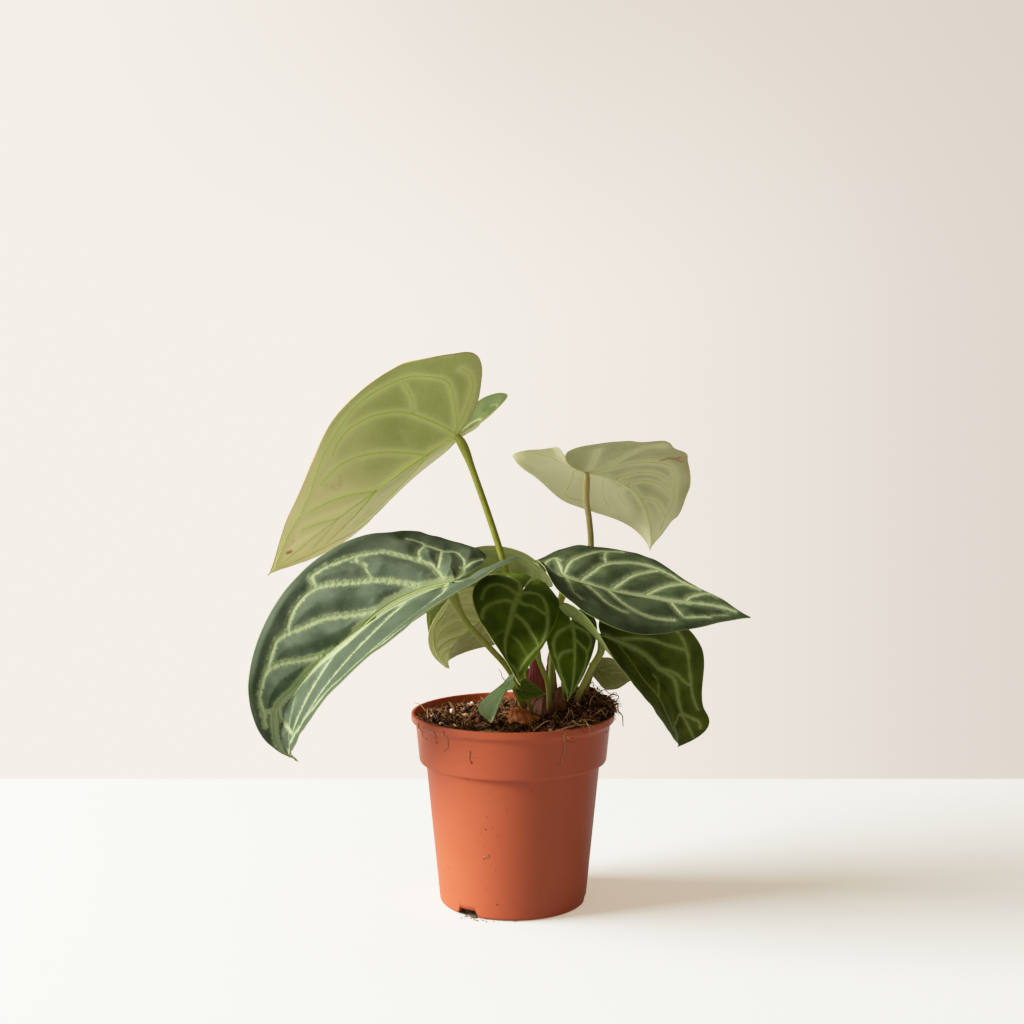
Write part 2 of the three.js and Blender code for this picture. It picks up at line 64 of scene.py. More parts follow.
# The flat outline of half a blade: x in blade lengths along the midrib, y in half widths.
HALF_OUTLINE = [
    (0, 0), (-0.10, 0.05), (-0.22, 0.15), (-0.31, 0.34), (-0.30, 0.60), (-0.19, 0.84), (-0.02, 0.97),
    (0.17, 1.0), (0.38, 0.90), (0.58, 0.69), (0.76, 0.41), (0.89, 0.17), (0.96, 0.055), (1.008, 0.0)]
ROUND_LOBE = [(0, 0), (-0.10, 0.02), (-0.22, 0.03), (-0.33, 0.10), (-0.36, 0.32), (-0.31, 0.60),
              *HALF_OUTLINE[5:]]
CUT_LOBE = [(0, 0), (-0.10, 0.04), (-0.19, 0.09), (-0.225, 0.19), (-0.21, 0.38), (-0.19, 0.58),
            (-0.19, 0.80), (-0.185, 0.96), (-0.165, 1.03), (-0.11, 1.02), (0.02, 1.0), (0.20, 1.0),
            (0.38, 0.91), *HALF_OUTLINE[9:]]
DENTED = [*HALF_OUTLINE[:4], (-0.28, 0.58), (-0.16, 0.80), (-0.03, 0.90), (0.08, 0.89), (0.17, 1.0),
          (0.23, 0.98), (0.30, 0.90), (0.38, 0.91), (0.44, 0.83), (0.55, 0.72), (0.61, 0.65),
          (0.67, 0.55), (0.77, 0.41), (0.81, 0.30), *HALF_OUTLINE[11:]]
# The left and the right side of the blades with outlines of their own.
OWN_OUTLINES = {"tall_right": (CUT_LOBE, DENTED), "front_heart": (ROUND_LOBE, ROUND_LOBE)}
FAN = 0.10
REACH_STATIONS = np.array([-0.3, 0.1, 0.4, 0.7, 0.95])
LOBE_REACH = 0.35
BEND_POWER = 1.3
CURL_WIDTH = 0.45
CORNER_EASE = 0.05
BLADE_THICKNESS = 0.5
MIDRIB_TABLE = np.linspace(-0.5, 1.1, 321)

# For one side of a blade: the half width at the five stations, how far it rises from flat at the
# lobe, the stem and the tip, how much it cups at the stem and the tip, how far the lobe hangs and
# the lobe's length. For a leaf: its grid, where the stem meets it, the midrib's heading, pitch and
# roll there, its length and how it bends over it, its sides, and the stem with its swelling.
# Nearly all numbers of the aim, the length, the bends and the sides are rounded results of a
# separate least-squares program, not sizes chosen by hand. A few were then changed by hand.
Side = namedtuple("Side", "reach fold curl drop lobe")
Leaf = namedtuple("Leaf", "cells base aim length droop sway twist left right radius knee stem")
LEAVES = {
    "tall_left": Leaf(
        (200, 40), (-33, 18, 275), (180, -33, 43), 138, 17, 7, 13,
        Side((68, 61, 59, 51, 62), (-3, 33, 26), (-31, -13), -53, 0.87),
        Side((69, 54, 64, 59, 61), (34, 25, 20), (52, 6), -16, 0.98),
        2, 0.45, [(12, 6, 108), (5, 11, 150), (-6, 14, 201), (-25.5, 16.5, 259)]),
    "big_left": Leaf(
        (220, 48), (-35.6, -22, 192), (197, -18, -43), 191, 110, 0, -43,
        Side((62, 56, 52, 52, 49), (49, 41, 30), (32, 57), -11, 0.66),
        Side((75, 59, 51, 43, 38), (-35, -3, 53), (-45, -28), 39, 0.61),
        1.8, 0.75, [(6, -8, 106), (3.5, -8, 127), (-3.5, -10, 141), (-13.3, -14, 153), (-27.6, -20, 170),
            (-35, -22, 186)]),
    "big_right": Leaf(
        (200, 44), (30, -25, 195), (-7, -12, 16), 106, -5, -5, 14,
        Side((47, 48, 45, 32, 44), (-16, 14, 8), (-22, -6), -2, 0.64),
        Side((45, 46, 49, 44, 41), (42, 17, 1), (-7, -43), -47, 0.65),
        1.9, 0.3, [(22, -4, 110), (23, -4, 145), (26, -10, 172), (29, -20, 187)]),
    "tall_right": Leaf(
        (180, 36), (44.5, 35, 252), (44, -4, -8), 109, 63, 31, -17,
        Side((60, 50, 51, 52, 45), (41, 24, 3), (-33, -68), -100, 1),
        Side((47, 44, 48, 48, 44), (20, 25, 12), (-7, 7), -16, 1),
        1.9, 0.25, [(34, 8, 110), (39, 19, 150), (46, 33, 190), (47.4, 36, 208), (46.3, 36.5, 223),
            (44.4, 36, 236)]),
    "front_heart": Leaf(
        (140, 30), (4.5, -34, 188), (239, -35, -20), 74, -11, 48, -25,
        Side((22, 25, 27, 31, 34), (-20, 10, 28), (-32, -6), 44, 1.03),
        Side((25, 25, 23, 23, 29), (-7, 13, 42), (-31, 16), 44, 0.97),
        1.5, 0.3, [(21, -16, 108), (20.4, -18, 131), (14.7, -21, 148), (9, -26, 170)]),
    "front_slim": Leaf(
        (120, 26), (33.4, -20, 169.5), (-72, -69, -25), 46, 24, -6, -2,
        Side((19, 20, 18, 18, 19), (14, 12, -4), (-17, -25), -8, 0.51),
        Side((17, 18, 19, 20, 20), (-4, 0, -3), (-28, -17), 34, 0.64),
        1.3, 0.3, [(27, -11, 110), (30, -12, 138), (33, -16, 158)]),
    "low_right": Leaf(
        (200, 40), (51, -14, 161), (11, -33, 44), 110, 66, 5, 40,
        Side((26, 32, 38, 32, 90), (37, 58, 47), (26, -59), -19, 0.2),
        Side((50, 45, 37, 36, 40), (50, 18, 26), (33, 15), 6, 0.98),
        1.8, 0.3, [(36, -8, 110), (38, -10, 123), (45.6, -13, 141), (51, -14, 151)]),
    "back_left": Leaf(
        (120, 26), (-13.7, 18, 167.6), (181, -30, 62), 51, 93, 5, 5,
        Side((23, 24, 23, 27, 26), (19, 18, 61), (-23, 1), -13, 0.3),
        Side((23, 24, 22, 20, 21), (9, 16, 59), (-28, 15), 0, 0.56),
        1.4, 0.3, [(9, -1, 108), (4, 4, 138), (-5, 10, 156)]),
    "back_centre": Leaf(
        (140, 28), (3, 50, 179.7), (191, -3, 54), 72, 65, -6, 38,
        Side((29, 31, 34, 33, 34), (-15, 11, 24), (-19, 3), 50, 1.04),
        Side((34, 31, 30, 35, 36), (-4, 7, 4), (7, 2), 20, 0.45),
        1.6, 0.3, [(18, 12, 108), (15, 28, 145), (8, 41, 168)]),
    "young_folded": Leaf(
        (90, 20), (-1.2, -32, 136.5), (169, -50, -83), 33, 49, 17, 2,
        Side((16, 15, 14, 14, 14), (27, 65, 40), (33, 10), -60, 0.4),
        Side((15, 15, 15, 16, 15), (65, 67, 39), (49, 5), -41, 0.81),
        1.2, 0.1, [(9, -16, 108), (7, -18, 117), (4.5, -23, 123), (1.5, -28.5, 130)]),
    "young_small": Leaf(
        (80, 18), (4.6, -30, 131.5), (10, -17, 51), 15, -22, 4, -2,
        Side((7, 7, 6, 6, 6), (43, 33, 14), (8, -13), -46, 1.04),
        Side((7, 7, 6, 6, 6), (35, 13, 15), (-18, -8), -27, 0.99),
        1, 0.1, [(13, -20, 108), (10, -24, 120), (7, -28, 127)]),
    "back_right": Leaf(
        (90, 20), (48.5, 16, 135.3), (39, -15, 87), 32, -2, -9, -2,
        Side((12, 11, 10, 10, 12), (44, 41, 17), (13, -8), -28, 0.97),
        Side((14, 14, 13, 14, 15), (48, 36, 18), (14, -18), -37, 0.92),
        1.2, 0.1, [(40, 4, 112), (43, 9, 122), (46, 13, 130)]),
}

# Dry scales that once wrapped stems: foot and tip on the outer face, the way it faces (degrees
# from +X), its width, the radius it is curved to, and how far its edges stray.
SCALES = {
    "red": ((13, -11, 116), (13, -9, 149), -100, 15, 7.5, 0.3),
    "pink": ((24, 3, 117), (22, 3, 150), -60, 10, 6, 0.3),
    "brown": ((29, -14.5, 113), (27, -12.5, 130), -70, 11, 6, 0.6),
    "papery": ((7, -26.5, 108), (2, -22, 121), -103, 25, 14, 1.3),
}
SCALE_TAPER = 0.7

# Thin roots that cling to the pot's outer wall: radius, and angle from the front with height. Some
# of these, and most of the specks, are a separate program's results for places picked by eye.
WALL_ROOTS = [
    (0.42, [(27.7, 110.5), (30.2, 102.2), (29.6, 96.4), (26.6, 90.9)]),
    (0.3, [(27.5, 108.7), (32.7, 106), (37.1, 103.6)]),
    (0.34, [(-41.1, 111), (-40, 105), (-40.4, 100.8), (-43.9, 97.9)]),
    (0.26, [(-47.5, 109), (-50.5, 104.5), (-49.8, 101.5)]),
    (0.34, [(-25.8, 100.9), (-25.9, 98), (-24.8, 94.6)]),
    (0.26, [(-21.4, 36.8), (-19.5, 38.4), (-18.2, 37.6), (-16.8, 40.1)]),
    (0.32, [(-64, 111.5), (-67, 107), (-65, 103)]),
    (0.3, [(118, 110.8), (121, 105), (119, 100), (122, 97)]),
    (0.32, [(196, 110.5), (193, 104), (195, 99)]),
]
# Specks of soil on the wall: angle, height and size.
WALL_SPECKS = [
    (-58.4, 109.6, 0.5), (-60.3, 102.6, 0.7), (-49.5, 102.5, 0.5), (35, 107.4, 0.7), (72.1, 104.3, 0.6),
    (-24.4, 94.2, 0.8), (-22.2, 97.4, 0.4), (24.8, 93.5, 0.4), (11.4, 77.8, 0.5), (-18.8, 54.6, 0.6),
    (-13.7, 56, 0.4), (-10.9, 50.8, 0.4), (-20.3, 44.6, 0.4), (-12.3, 30.7, 0.4), (-80.7, 7.5, 0.5),
    (-12, 10.3, 0.7), (33.2, 10.5, 0.5), (-38, 108.5, 0.4), (46, 33.5, 0.3), (29, 12, 0.35)]
# Loose roots over the soil and the rim, each with its radius and its points.
LOOSE_ROOTS = [
    (0.45, [(22, -49, 111), (29, -50, 113.8), (37, -46.5, 114.6), (44, -41.5, 113.5),
            (47.5, -39.5, 109.5)]),
    (0.42, [(36, -38, 113), (40, -42, 117), (42.5, -44.5, 114), (44.2, -43.2, 107)]),
    (0.45, [(50, -6, 121), (47, -12, 124.5), (44.5, -16, 119.5), (47, -20, 114)]),
    (0.6, [(51, -4, 118), (57, -2, 119.8), (61.5, 0, 117.8), (62.3, 0, 113.6), (64.6, 0.4, 109.6),
           (65.4, 0.2, 103.8)]),
    (0.5, [(54, 4, 119), (59, 5, 122), (62.6, 6, 120.6), (61.5, 5, 117.4), (64.5, 4, 116.4)]),
    (0.42, [(49, 8, 120), (54, 9, 124), (58, 8, 121.5), (60, 7, 123)]),
    (0.4, [(12, -44, 111), (16, -47, 115), (21, -45, 117), (24, -41, 112)]),
    (0.36, [(28, -33, 112), (31, -36, 119), (33.5, -37, 121), (34.5, -39, 113)]),
    (0.4, [(30, -40, 112), (34, -44, 116.5), (39, -45, 113), (41, -42, 117), (46, -38, 115)]),
    (0.4, [(46, -28, 116), (50, -31, 120), (53, -28, 117), (55, -24, 118.5)]),
    (0.42, [(-22, -47, 110), (-16, -50, 112), (-9, -51, 111.8), (-3, -48, 110.2)]),
    (0.36, [(-46, -22, 110), (-50, -27, 112.5), (-53.5, -26, 114.5), (-58, -22, 114.6)]),
    (0.34, [(-51, 8, 110), (-55, 10, 114.6), (-59, 12, 115.5)]),
    (0.4, [(38, 30, 112), (45, 33, 115.5), (50, 29, 116), (52, 20, 113.5)]),
    (0.38, [(-8, 40, 110), (-2, 46, 113), (6, 47, 112.5), (12, 43, 110.5)]),
    (0.36, [(-1.5, -31.5, 135.2), (-4, -33.4, 137), (-6.2, -35, 140.5), (-8, -36, 145)]),
]
# Tufts of coir: the middle of each and how broad it is.
TUFTS = [(44, -30, 114.5, 4.5), (50, -20, 115, 4), (54.5, -9, 116, 4.2), (55.5, 1, 117, 4.2),
         (54, 9, 117, 3.5), (34, -42, 112.5, 3.5), (24, -46, 111.5, 2.8), (48, 16, 118, 4), (46, -4, 121, 4)]
# Perlite beads: place and size.
PERLITE = [(-36.6, 15.8, 1.7), (-30.1, 20.2, 1.2), (-42, -18, 0.9), (-12, -40, 0.8), (8, 38, 1.3),
           (-25, 35, 1.1), (-48, 4, 0.8), (30, 34, 1), (-20, 8, 1), (18, -46, 0.9)]

# ---------------------------------------------------------------- veins

# Half width of the pale band at a vein's start and end, and how strongly it shows.
VEIN_KINDS = {"mid": (2.6, 0.8, 1.0), "main": (1.7, 1.2, 1.0), "rim": (1.3, 0.9, 1.0),
              "slim": (1.0, 0.6, 0.85), "faint": (0.8, 0.5, 0.5), "trunk": (4.2, 1.6, 1.0)}

# Each vein: its kind and its points one after another, in hundredths: x of a length along the
# midrib and y of a half width, positive on the leaf's left side. Most of the points are results of
# a separate program that carried places picked by eye onto the fitted blades.
PLAIN_MIDRIB = ("mid", (0, 0, 13, 2, 27, 2, 41, 0, 62, -1, 80, 0, 98, 0))
PLAIN_SIDE = [
    ("main", (0, 0, 4, 20, 8, 35, 14, 53, 24, 66, 35, 70, 43, 66, 49, 59)),
    ("rim", (0, 4, -6, 19, -12, 41, -12, 58, -1, 77, 10, 86, 25, 88, 40, 77, 55, 62, 71, 36, 85, 17, 96,
             2)),
    ("faint", (-2, 6, -20, 24, -24, 40, -22, 55)),
    ("main", (15, 0, 28, 25, 39, 39, 49, 46, 60, 44)),
    ("main", (42, 0, 54, 16, 65, 25, 73, 28)),
    ("faint", (62, 0, 70, 10, 78, 16)),
    ("faint", (10, 45, 7, 59, 6, 80)),
]
VEINS = {
    "big_left": [
        ("trunk", (0, 0, 8, -4, 18, -5, 27, -1, 37, 7, 48, 1, 60, -2, 66, -10, 71, -13, 78, -11, 86, -9, 97,
                   -4)),
        ("main", (2, -1, 2, -15, 3, -29, 6, -41, 11, -57, 14, -66, 20, -73, 26, -77, 31, -80, 35, -80)),
        ("rim", (5, -42, 4, -53, 1, -62, 2, -72, 5, -79)),
        ("rim", (1, -62, -2, -55, -6, -45, -12, -40, -13, -29, -12, -20, -8, -8, -1, -1)),
        ("rim", (-5, -45, -1, -33, 2, -20)),
        ("rim", (-10, -14, -16, -18, -24, -23)),
        ("main", (8, -5, 11, -14, 18, -33, 26, -47, 33, -62, 38, -66, 43, -62, 47, -53)),
        ("rim", (23, -71, 21, -61, 21, -52, 21, -41)),
        ("rim", (35, -80, 35, -66)),
        ("main", (22, -4, 30, -16, 37, -31, 44, -42, 48, -50, 51, -54, 53, -52, 59, -44)),
        ("main", (44, 0, 50, -15, 55, -33, 59, -44, 64, -42, 68, -39, 73, -28)),
        ("main", (69, -13, 71, -17, 72, -24, 73, -28, 78, -24)),
        ("main", (70, -10, 75, 0, 72, 19, 70, 31)),
        ("slim", (0, 3, -6, 20, -14, 42, -16, 62)),
        ("slim", (2, 5, 5, 28, 12, 52, 22, 70, 32, 79)),
        ("slim", (16, 3, 27, 27, 38, 44, 49, 53, 58, 55)),
        ("slim", (38, 5, 49, 23, 60, 33, 72, 35)),
        ("faint", (58, 0, 67, 14, 76, 24)),
        ("slim", (-8, 50, -6, 68, 6, 82, 20, 85, 34, 78, 46, 67, 58, 55, 72, 35, 88, 17, 97, 4)),
    ],
    "big_right": [
        ("mid", (0, 0, 10, -2, 22, -6, 36, -3, 47, 1, 58, 2, 73, 9, 84, 9, 92, 5)),
        ("main", (0, 2, -5, 10, -10, 29, -15, 51, -20, 44, -22, 25)),
        ("rim", (-15, 51, -9, 40)),
        ("main", (-3, 11, -2, 33, 2, 52, 10, 76, 16, 85, 25, 91)),
        ("main", (8, 3, 13, 26, 18, 48, 30, 63, 39, 65, 49, 62, 56, 58, 64, 50, 71, 45)),
        ("rim", (18, 50, 16, 66, 16, 83)),
        ("main", (26, 2, 33, 31, 38, 44, 46, 59)),
        ("main", (44, 3, 52, 29, 60, 47, 64, 50)),
        ("rim", (65, 11, 68, 25, 75, 37, 81, 32)),
        ("main", (1, -12, 6, -60, 12, -75)),
        ("main", (12, -14, 23, -47, 32, -55, 37, -53)),
        ("main", (23, -9, 31, -32, 39, -43, 48, -47, 54, -45, 62, -40)),
        ("rim", (58, -3, 61, -14, 66, -28, 70, -25, 80, -17)),
        ("faint", (80, -13, 88, -3)),
    ],
    "tall_right": [
        ("mid", (0, 0, 13, 2, 27, 2, 41, 0, 62, -1, 80, 0, 98, 0)),
        ("main", (2, -3, 9, -17, 10, -37, 12, -60, 15, -80, 22, -89)),
        ("main", (5, -2, 13, -16, 20, -35, 30, -51, 40, -61, 49, -57, 59, -46, 68, -37, 78, -22, 86, -14)),
        ("main", (26, 0, 32, -24, 39, -37, 48, -44, 59, -44)),
        ("main", (38, 0, 42, -20, 51, -32, 62, -37)),
        ("faint", (57, 0, 61, -12, 68, -19, 77, -22)),
        ("faint", (0, -2, -8, -36, -16, -57)),
        ("main", (0, 3, -5, 24, -11, 46, -15, 72)),
        ("main", (3, 5, 10, 40, 24, 65, 34, 85, 50, 66)),
        ("faint", (20, 3, 30, 25, 42, 38, 54, 45, 64, 43)),
        ("faint", (40, 0, 50, 24, 64, 23)),
    ],
    "front_heart": [
        ("mid", (0, 0, 6, 0, 14, 1, 32, 3, 43, 0, 64, -11, 73, -13, 79, 1, 87, 5, 99, 1)),
        ("main", (1, 0, -3, 28, -2, 50, 6, 69, 17, 79)),
        ("main", (9, 4, 12, 22, 12, 44, 18, 79)),
        ("rim", (17, 79, 34, 82, 53, 67, 66, 45, 75, 27, 87, 8)),
        ("main", (25, 13, 34, 38, 49, 54, 58, 57)),
        ("faint", (48, 11, 56, 24, 70, 31)),
        ("main", (-1, -2, -9, -16, -12, -35, -14, -53)),
        ("main", (4, -5, 1, -36, 3, -60, 10, -73, 23, -75)),
        ("main", (12, 0, 14, -20, 22, -46, 32, -66, 44, -75)),
        ("faint", (41, -2, 51, -29, 64, -60)),
    ],
    "front_slim": [
        ("mid", (0, 0, 15, 4, 40, 5, 60, 6, 81, 8, 100, 1)),
        ("main", (6, -2, 11, -34, 17, -60, 30, -75, 45, -68, 54, -56)),
        ("main", (38, 0, 39, -24, 43, -46, 53, -57, 70, -42, 90, -10)),
        ("main", (6, 4, 9, 27, 16, 62, 27, 75, 38, 61)),
        ("main", (24, 9, 31, 36, 38, 61, 54, 58, 72, 38, 89, 18)),
    ],
    "low_right": [
        ("mid", (0, 0, 13, 10, 25, 17, 37, 16, 48, 24, 61, 14, 72, 9, 85, 9, 91, 10)),
        ("main", (7, 4, 11, 17, 21, 42, 30, 53, 37, 66)),
        ("rim", (28, 81, 35, 72, 45, 56, 55, 48, 71, 39)),
        ("main", (37, 16, 44, 30, 52, 39, 55, 47)),
        ("main", (38, 0, 43, -2, 44, -16, 45, -35)),
        ("rim", (12, 0, 19, -12, 30, -33, 45, -35, 56, -44, 69, -40)),
        ("main", (72, 7, 72, -12, 71, -31, 88, -17)),
        ("main", (72, 10, 78, 22, 84, 19)),
    ],
}
VEIN_STEP = 0.6
FIELD_CHUNK = 1200

# How a leaf's surface lies: how far the tissue bulges between the veins, how wide the pale bands
# are against VEIN_KINDS, its two materials, and how pale its left side, its right side and the
# part by the stem are; below 0 is darker, which is painted shade (big_left's left side).
LEAF_LOOKS = {
    "tall_left": (0.8, 0.8, "velvet_fresh", "underside_tall", (0, 0.4, 0)),
    "big_left": (2.3, 1.15, "velvet_old", "underside_pale", (-0.4, 0, 0.12)),
    "big_right": (1.7, 0.95, "velvet_dark", "underside_pale", (0.02, 0.02, 0.06)),
    "tall_right": (0.8, 0.7, "velvet_fresh", "underside_grey", (0.65, 0, 0)),
    "front_heart": (0.7, 0.72, "velvet_green", "underside_pale", (0.02, 0.02, 0.12)),
    "front_slim": (0.6, 0.6, "velvet_green", "underside_pale", (0, 0, 0.08)),
    "low_right": (1.2, 0.72, "velvet_deep", "underside_pale", (0, 0, 0)),
    "back_left": (0.5, 0.4, "velvet_olive", "underside_olive", (0, 0, 0)),
    "back_centre": (0.5, 0.4, "velvet_green", "underside_pale", (0, 0, 0)),
    "young_folded": (0.3, 0.22, "velvet_blue", "underside_pale", (0, 0, 0)),
    "young_small": (0.15, 0.1, "velvet_small", "underside_olive", (0, 0, 0)),
    "back_right": (0.3, 0.2, "velvet_olive", "underside_olive", (0, 0, 0)),
}
STEM_LOOKS = {"tall_right": "stem_blush", "big_left": "stem_light", "low_right": "stem_light"}

# Blemishes: how brown each is, its half width (mm) and its points, as for the veins and partly with
# the same origin.
MARKS = {
    "tall_left": [(0.85, 0.85, (86.8, 3.7, 88.3, 4.8)), (0.2, 0.8, (51, 36, 53, 30, 54, 26)),
                  (0.16, 0.8, (56, 28, 56.5, 33, 58, 40)), (0.35, 0.5, (83, 10, 83.2, 11))],
    "tall_right": [(0.8, 0.7, (33, -61, 35, -70, 38, -75, 38.5, -81)), (0.8, 0.6, (37.5, -75, 41.5, -76)),
                   (0.22, 4, (42, -84, 47, -80))],
}
# How far the sunk line beside a vein and the paler part by the stem reach (mm), and how far inside
# the margin the ribs count as lying, so that they take none of its colour.
TISSUE_REACH, STEM_PATCH, RIB_INSIDE = 6.5, 17.0, 20.0


# ---------------------------------------------------------------- curves, grids and meshes

def spline(points, at):
    """A uniform Catmull-Rom curve through the points, read at parameters from 0 to 1."""
    points = np.asarray(points, float)
    last = len(points) - 1
    spot = np.clip(at, 0, 1) * last
    i = np.minimum(spot.astype(int), last - 1)
    w = (spot - i)[:, None]
    before, here = points[np.maximum(i - 1, 0)], points[i]
    there, after = points[i + 1], points[np.minimum(i + 2, last)]
    slope_here, slope_there = (there - before) / 2, (after - here) / 2
    return ((2 * here - 2 * there + slope_here + slope_there) * w ** 3
            + (3 * there - 3 * here - 2 * slope_here - slope_there) * w ** 2 + slope_here * w + here)


def run_along(points):
    """The distance from a path's first point to each of its points."""
    return np.concatenate([[0], np.cumsum(np.linalg.norm(np.diff(points, axis=0), axis=1))])


def read_at(spot, run, points):
    """A path's points where it has run that far."""
    return np.stack([np.interp(spot, run, column) for column in points.T], axis=-1)


def smooth_path(points, step):
    """A curve through the points, in even steps of about the given length."""
    rough = spline(points, np.linspace(0, 1, 40 * len(points)))
    run = run_along(rough)
    return read_at(np.linspace(0, run[-1], max(int(run[-1] / step), 3) + 1), run, rough)


def unit(vectors):
    """The vectors, each made one long."""
    return vectors / np.maximum(np.linalg.norm(vectors, axis=-1, keepdims=True), 1e-12)


def smoothstep(value, low, high):
    """0 below low, 1 above high, and 3w^2 - 2w^3 between them."""
    w = np.clip((value - low) / (high - low), 0, 1)
    return w * w * (3 - 2 * w)


def lattice_noise(x, y, cell, seed):
    """Smooth noise from -1 to 1: random values on a square lattice, blended with 3w^2 - 2w^3."""
    values = np.random.default_rng(seed).uniform(-1, 1, (64, 64))
    u, v = np.asarray(x) / cell, np.asarray(y) / cell
    i, j = np.floor(u).astype(int), np.floor(v).astype(int)
    a, b = smoothstep(u - i, 0, 1), smoothstep(v - j, 0, 1)
    (p, q), (r, s) = [[values[(i + m) % 64, (j + n) % 64] for n in (0, 1)] for m in (0, 1)]
    return (p * (1 - a) + r * a) * (1 - b) + (q * (1 - a) + s * a) * b


def grid_faces(rows, columns, around=False):
    """The triangles of a grid of rows x columns points; around joins its last column to its first."""
    i, j = np.meshgrid(np.arange(rows - 1), np.arange(columns if around else columns - 1), indexing="ij")
    beside = (j + 1) % columns
    a, b = i * columns + j, (i + 1) * columns + j
    c, d = (i + 1) * columns + beside, i * columns + beside
    return np.stack([np.stack([a, b, c], -1), np.stack([a, c, d], -1)], axis=-2).reshape(-1, 3)


def capped(rings, sides):
    """The triangles of rings of points, each end closed onto one more point that follows them."""
    index = np.arange(sides)
    beside, count = (index + 1) % sides, rings * sides
    top = count - sides
    return np.concatenate([grid_faces(rings, sides, around=True)[:, ::-1],
                           np.stack([np.full(sides, count), beside, index], -1),
                           np.stack([np.full(sides, count + 1), top + index, top + beside], -1)])


def edge_band(near, far, count):
    """The triangles between a line of points, from near to far, and its copy count points on."""
    return np.concatenate([np.stack([near, far + count, far], -1),
                           np.stack([near, near + count, far + count], -1)])


def repeated(faces, copies, step):
    """The same triangles for copies of a shape, each copy step points after the one before."""
    return (faces[None] + np.arange(copies)[:, None, None] * step).reshape(-1, 3)


def without_collapsed(faces):
    """The triangles whose three corners differ."""
    a, b, c = faces.T
    return faces[(a != b) & (b != c) & (c != a)]


def corner_normals(points, faces):
    """The unit normal at each point: the mean of its triangles' normals, weighted by area."""
    a, b, c = (points[faces[:, k]] for k in range(3))
    normal = np.cross(b - a, c - a)
    total = np.zeros_like(points)
    for k in range(3):
        np.add.at(total, faces[:, k], normal)
    return unit(total)


def joined(parts):
    """Several (points, faces) pairs made one."""
    offsets = np.cumsum([0] + [len(points) for points, _ in parts[:-1]])
    faces = np.concatenate([faces + offset for (_, faces), offset in zip(parts, offsets)])
    return np.concatenate([points for points, _ in parts]), faces


def tube(path, radii, sides):
    """A round rod along a path, closed at both ends: a circle of the given radius square to it."""
    tangent = unit(np.gradient(path, axis=0))
    first = unit(np.cross(tangent, np.eye(3)[np.abs(tangent.mean(axis=0)).argmin()]))
    angle = np.linspace(0, 2 * np.pi, sides, endpoint=False)[None, :, None]
    ring = np.cos(angle) * first[:, None] + np.sin(angle) * np.cross(tangent, first)[:, None]
    points = (path[:, None] + radii[:, None, None] * ring).reshape(-1, 3)
    return np.concatenate([points, path[:1], path[-1:]]), capped(len(path), sides)


def revolved(profile, sides):
    """A profile of radius and height carried round the Z axis, closed at its two ends on the axis."""
    radius, height = profile[1:-1].T[..., None]
    angle = np.linspace(0, 2 * np.pi, sides, endpoint=False)
    level = np.broadcast_to(height, (len(height), sides))
    points = np.stack([radius * np.cos(angle), radius * np.sin(angle), level], axis=-1).reshape(-1, 3)
    ends = [(0, 0, profile[0, 1]), (0, 0, profile[-1, 1])]
    return np.concatenate([points, ends]), capped(len(height), sides)


def scattered(shape, faces, places, turns, sizes):
    """Copies of a small shape: each is stretched by its sizes, turned by its matrix and placed."""
    points = np.einsum("nij,nkj->nki", turns, shape[None] * sizes[:, None]) + places[:, None]
    return points.reshape(-1, 3), repeated(faces, len(places), len(shape))


def threads(paths, radii):
    """Many thin rods at once: along each path of the array, a triangle square to the path."""
    count, steps, _ = paths.shape
    tangent = unit(np.gradient(paths, axis=1))
    first = unit(np.cross(tangent, (0.31, 0.17, 0.94)))
    second = np.cross(tangent, first)
    angle = (np.array([0, 2, 4]) * np.pi / 3)[:, None]
    ring = np.cos(angle) * first[:, :, None] + np.sin(angle) * second[:, :, None]
    taper = np.sqrt(np.linspace(1, 0.25, steps))[None, :, None, None]
    points = paths[:, :, None] + radii[:, None, None, None] * taper * ring
    last = (steps - 1) * 3
    ends = np.array([(0, 2, 1), (last, last + 1, last + 2)])
    faces = np.concatenate([grid_faces(steps, 3, around=True)[:, ::-1], ends])
    return points.reshape(-1, 3), repeated(faces, count, steps * 3)


def turned(axis, angle):
    """Rotation matrices about one axis."""
    first, second = (axis + 1) % 3, (axis + 2) % 3
    matrix = np.zeros((len(angle), 3, 3))
    matrix[:, axis, axis] = 1
    matrix[:, first, first] = matrix[:, second, second] = np.cos(angle)
    matrix[:, second, first] = np.sin(angle)
    matrix[:, first, second] = -np.sin(angle)
    return matrix


def random_turns(rng, count, lean):
    """Rotation matrices: any turn about Z, then a lean of up to the given angle about X and Y."""
    turn = rng.uniform(0, 2 * np.pi, count)
    tilt_x, tilt_y = rng.uniform(-lean, lean, (2, count))
    return turned(0, tilt_x) @ turned(1, tilt_y) @ turned(2, turn)


def new_mesh(name, points, faces):
    """A mesh in metres from points in millimetres."""
    mesh = bpy.data.meshes.new(name)
    mesh.from_pydata((points * MM).tolist(), [], faces)
    return mesh


def new_object(name, data):
    """An object for the data, in the scene."""
    item = bpy.data.objects.new(name, data)
    bpy.context.scene.collection.objects.link(item)
    return item


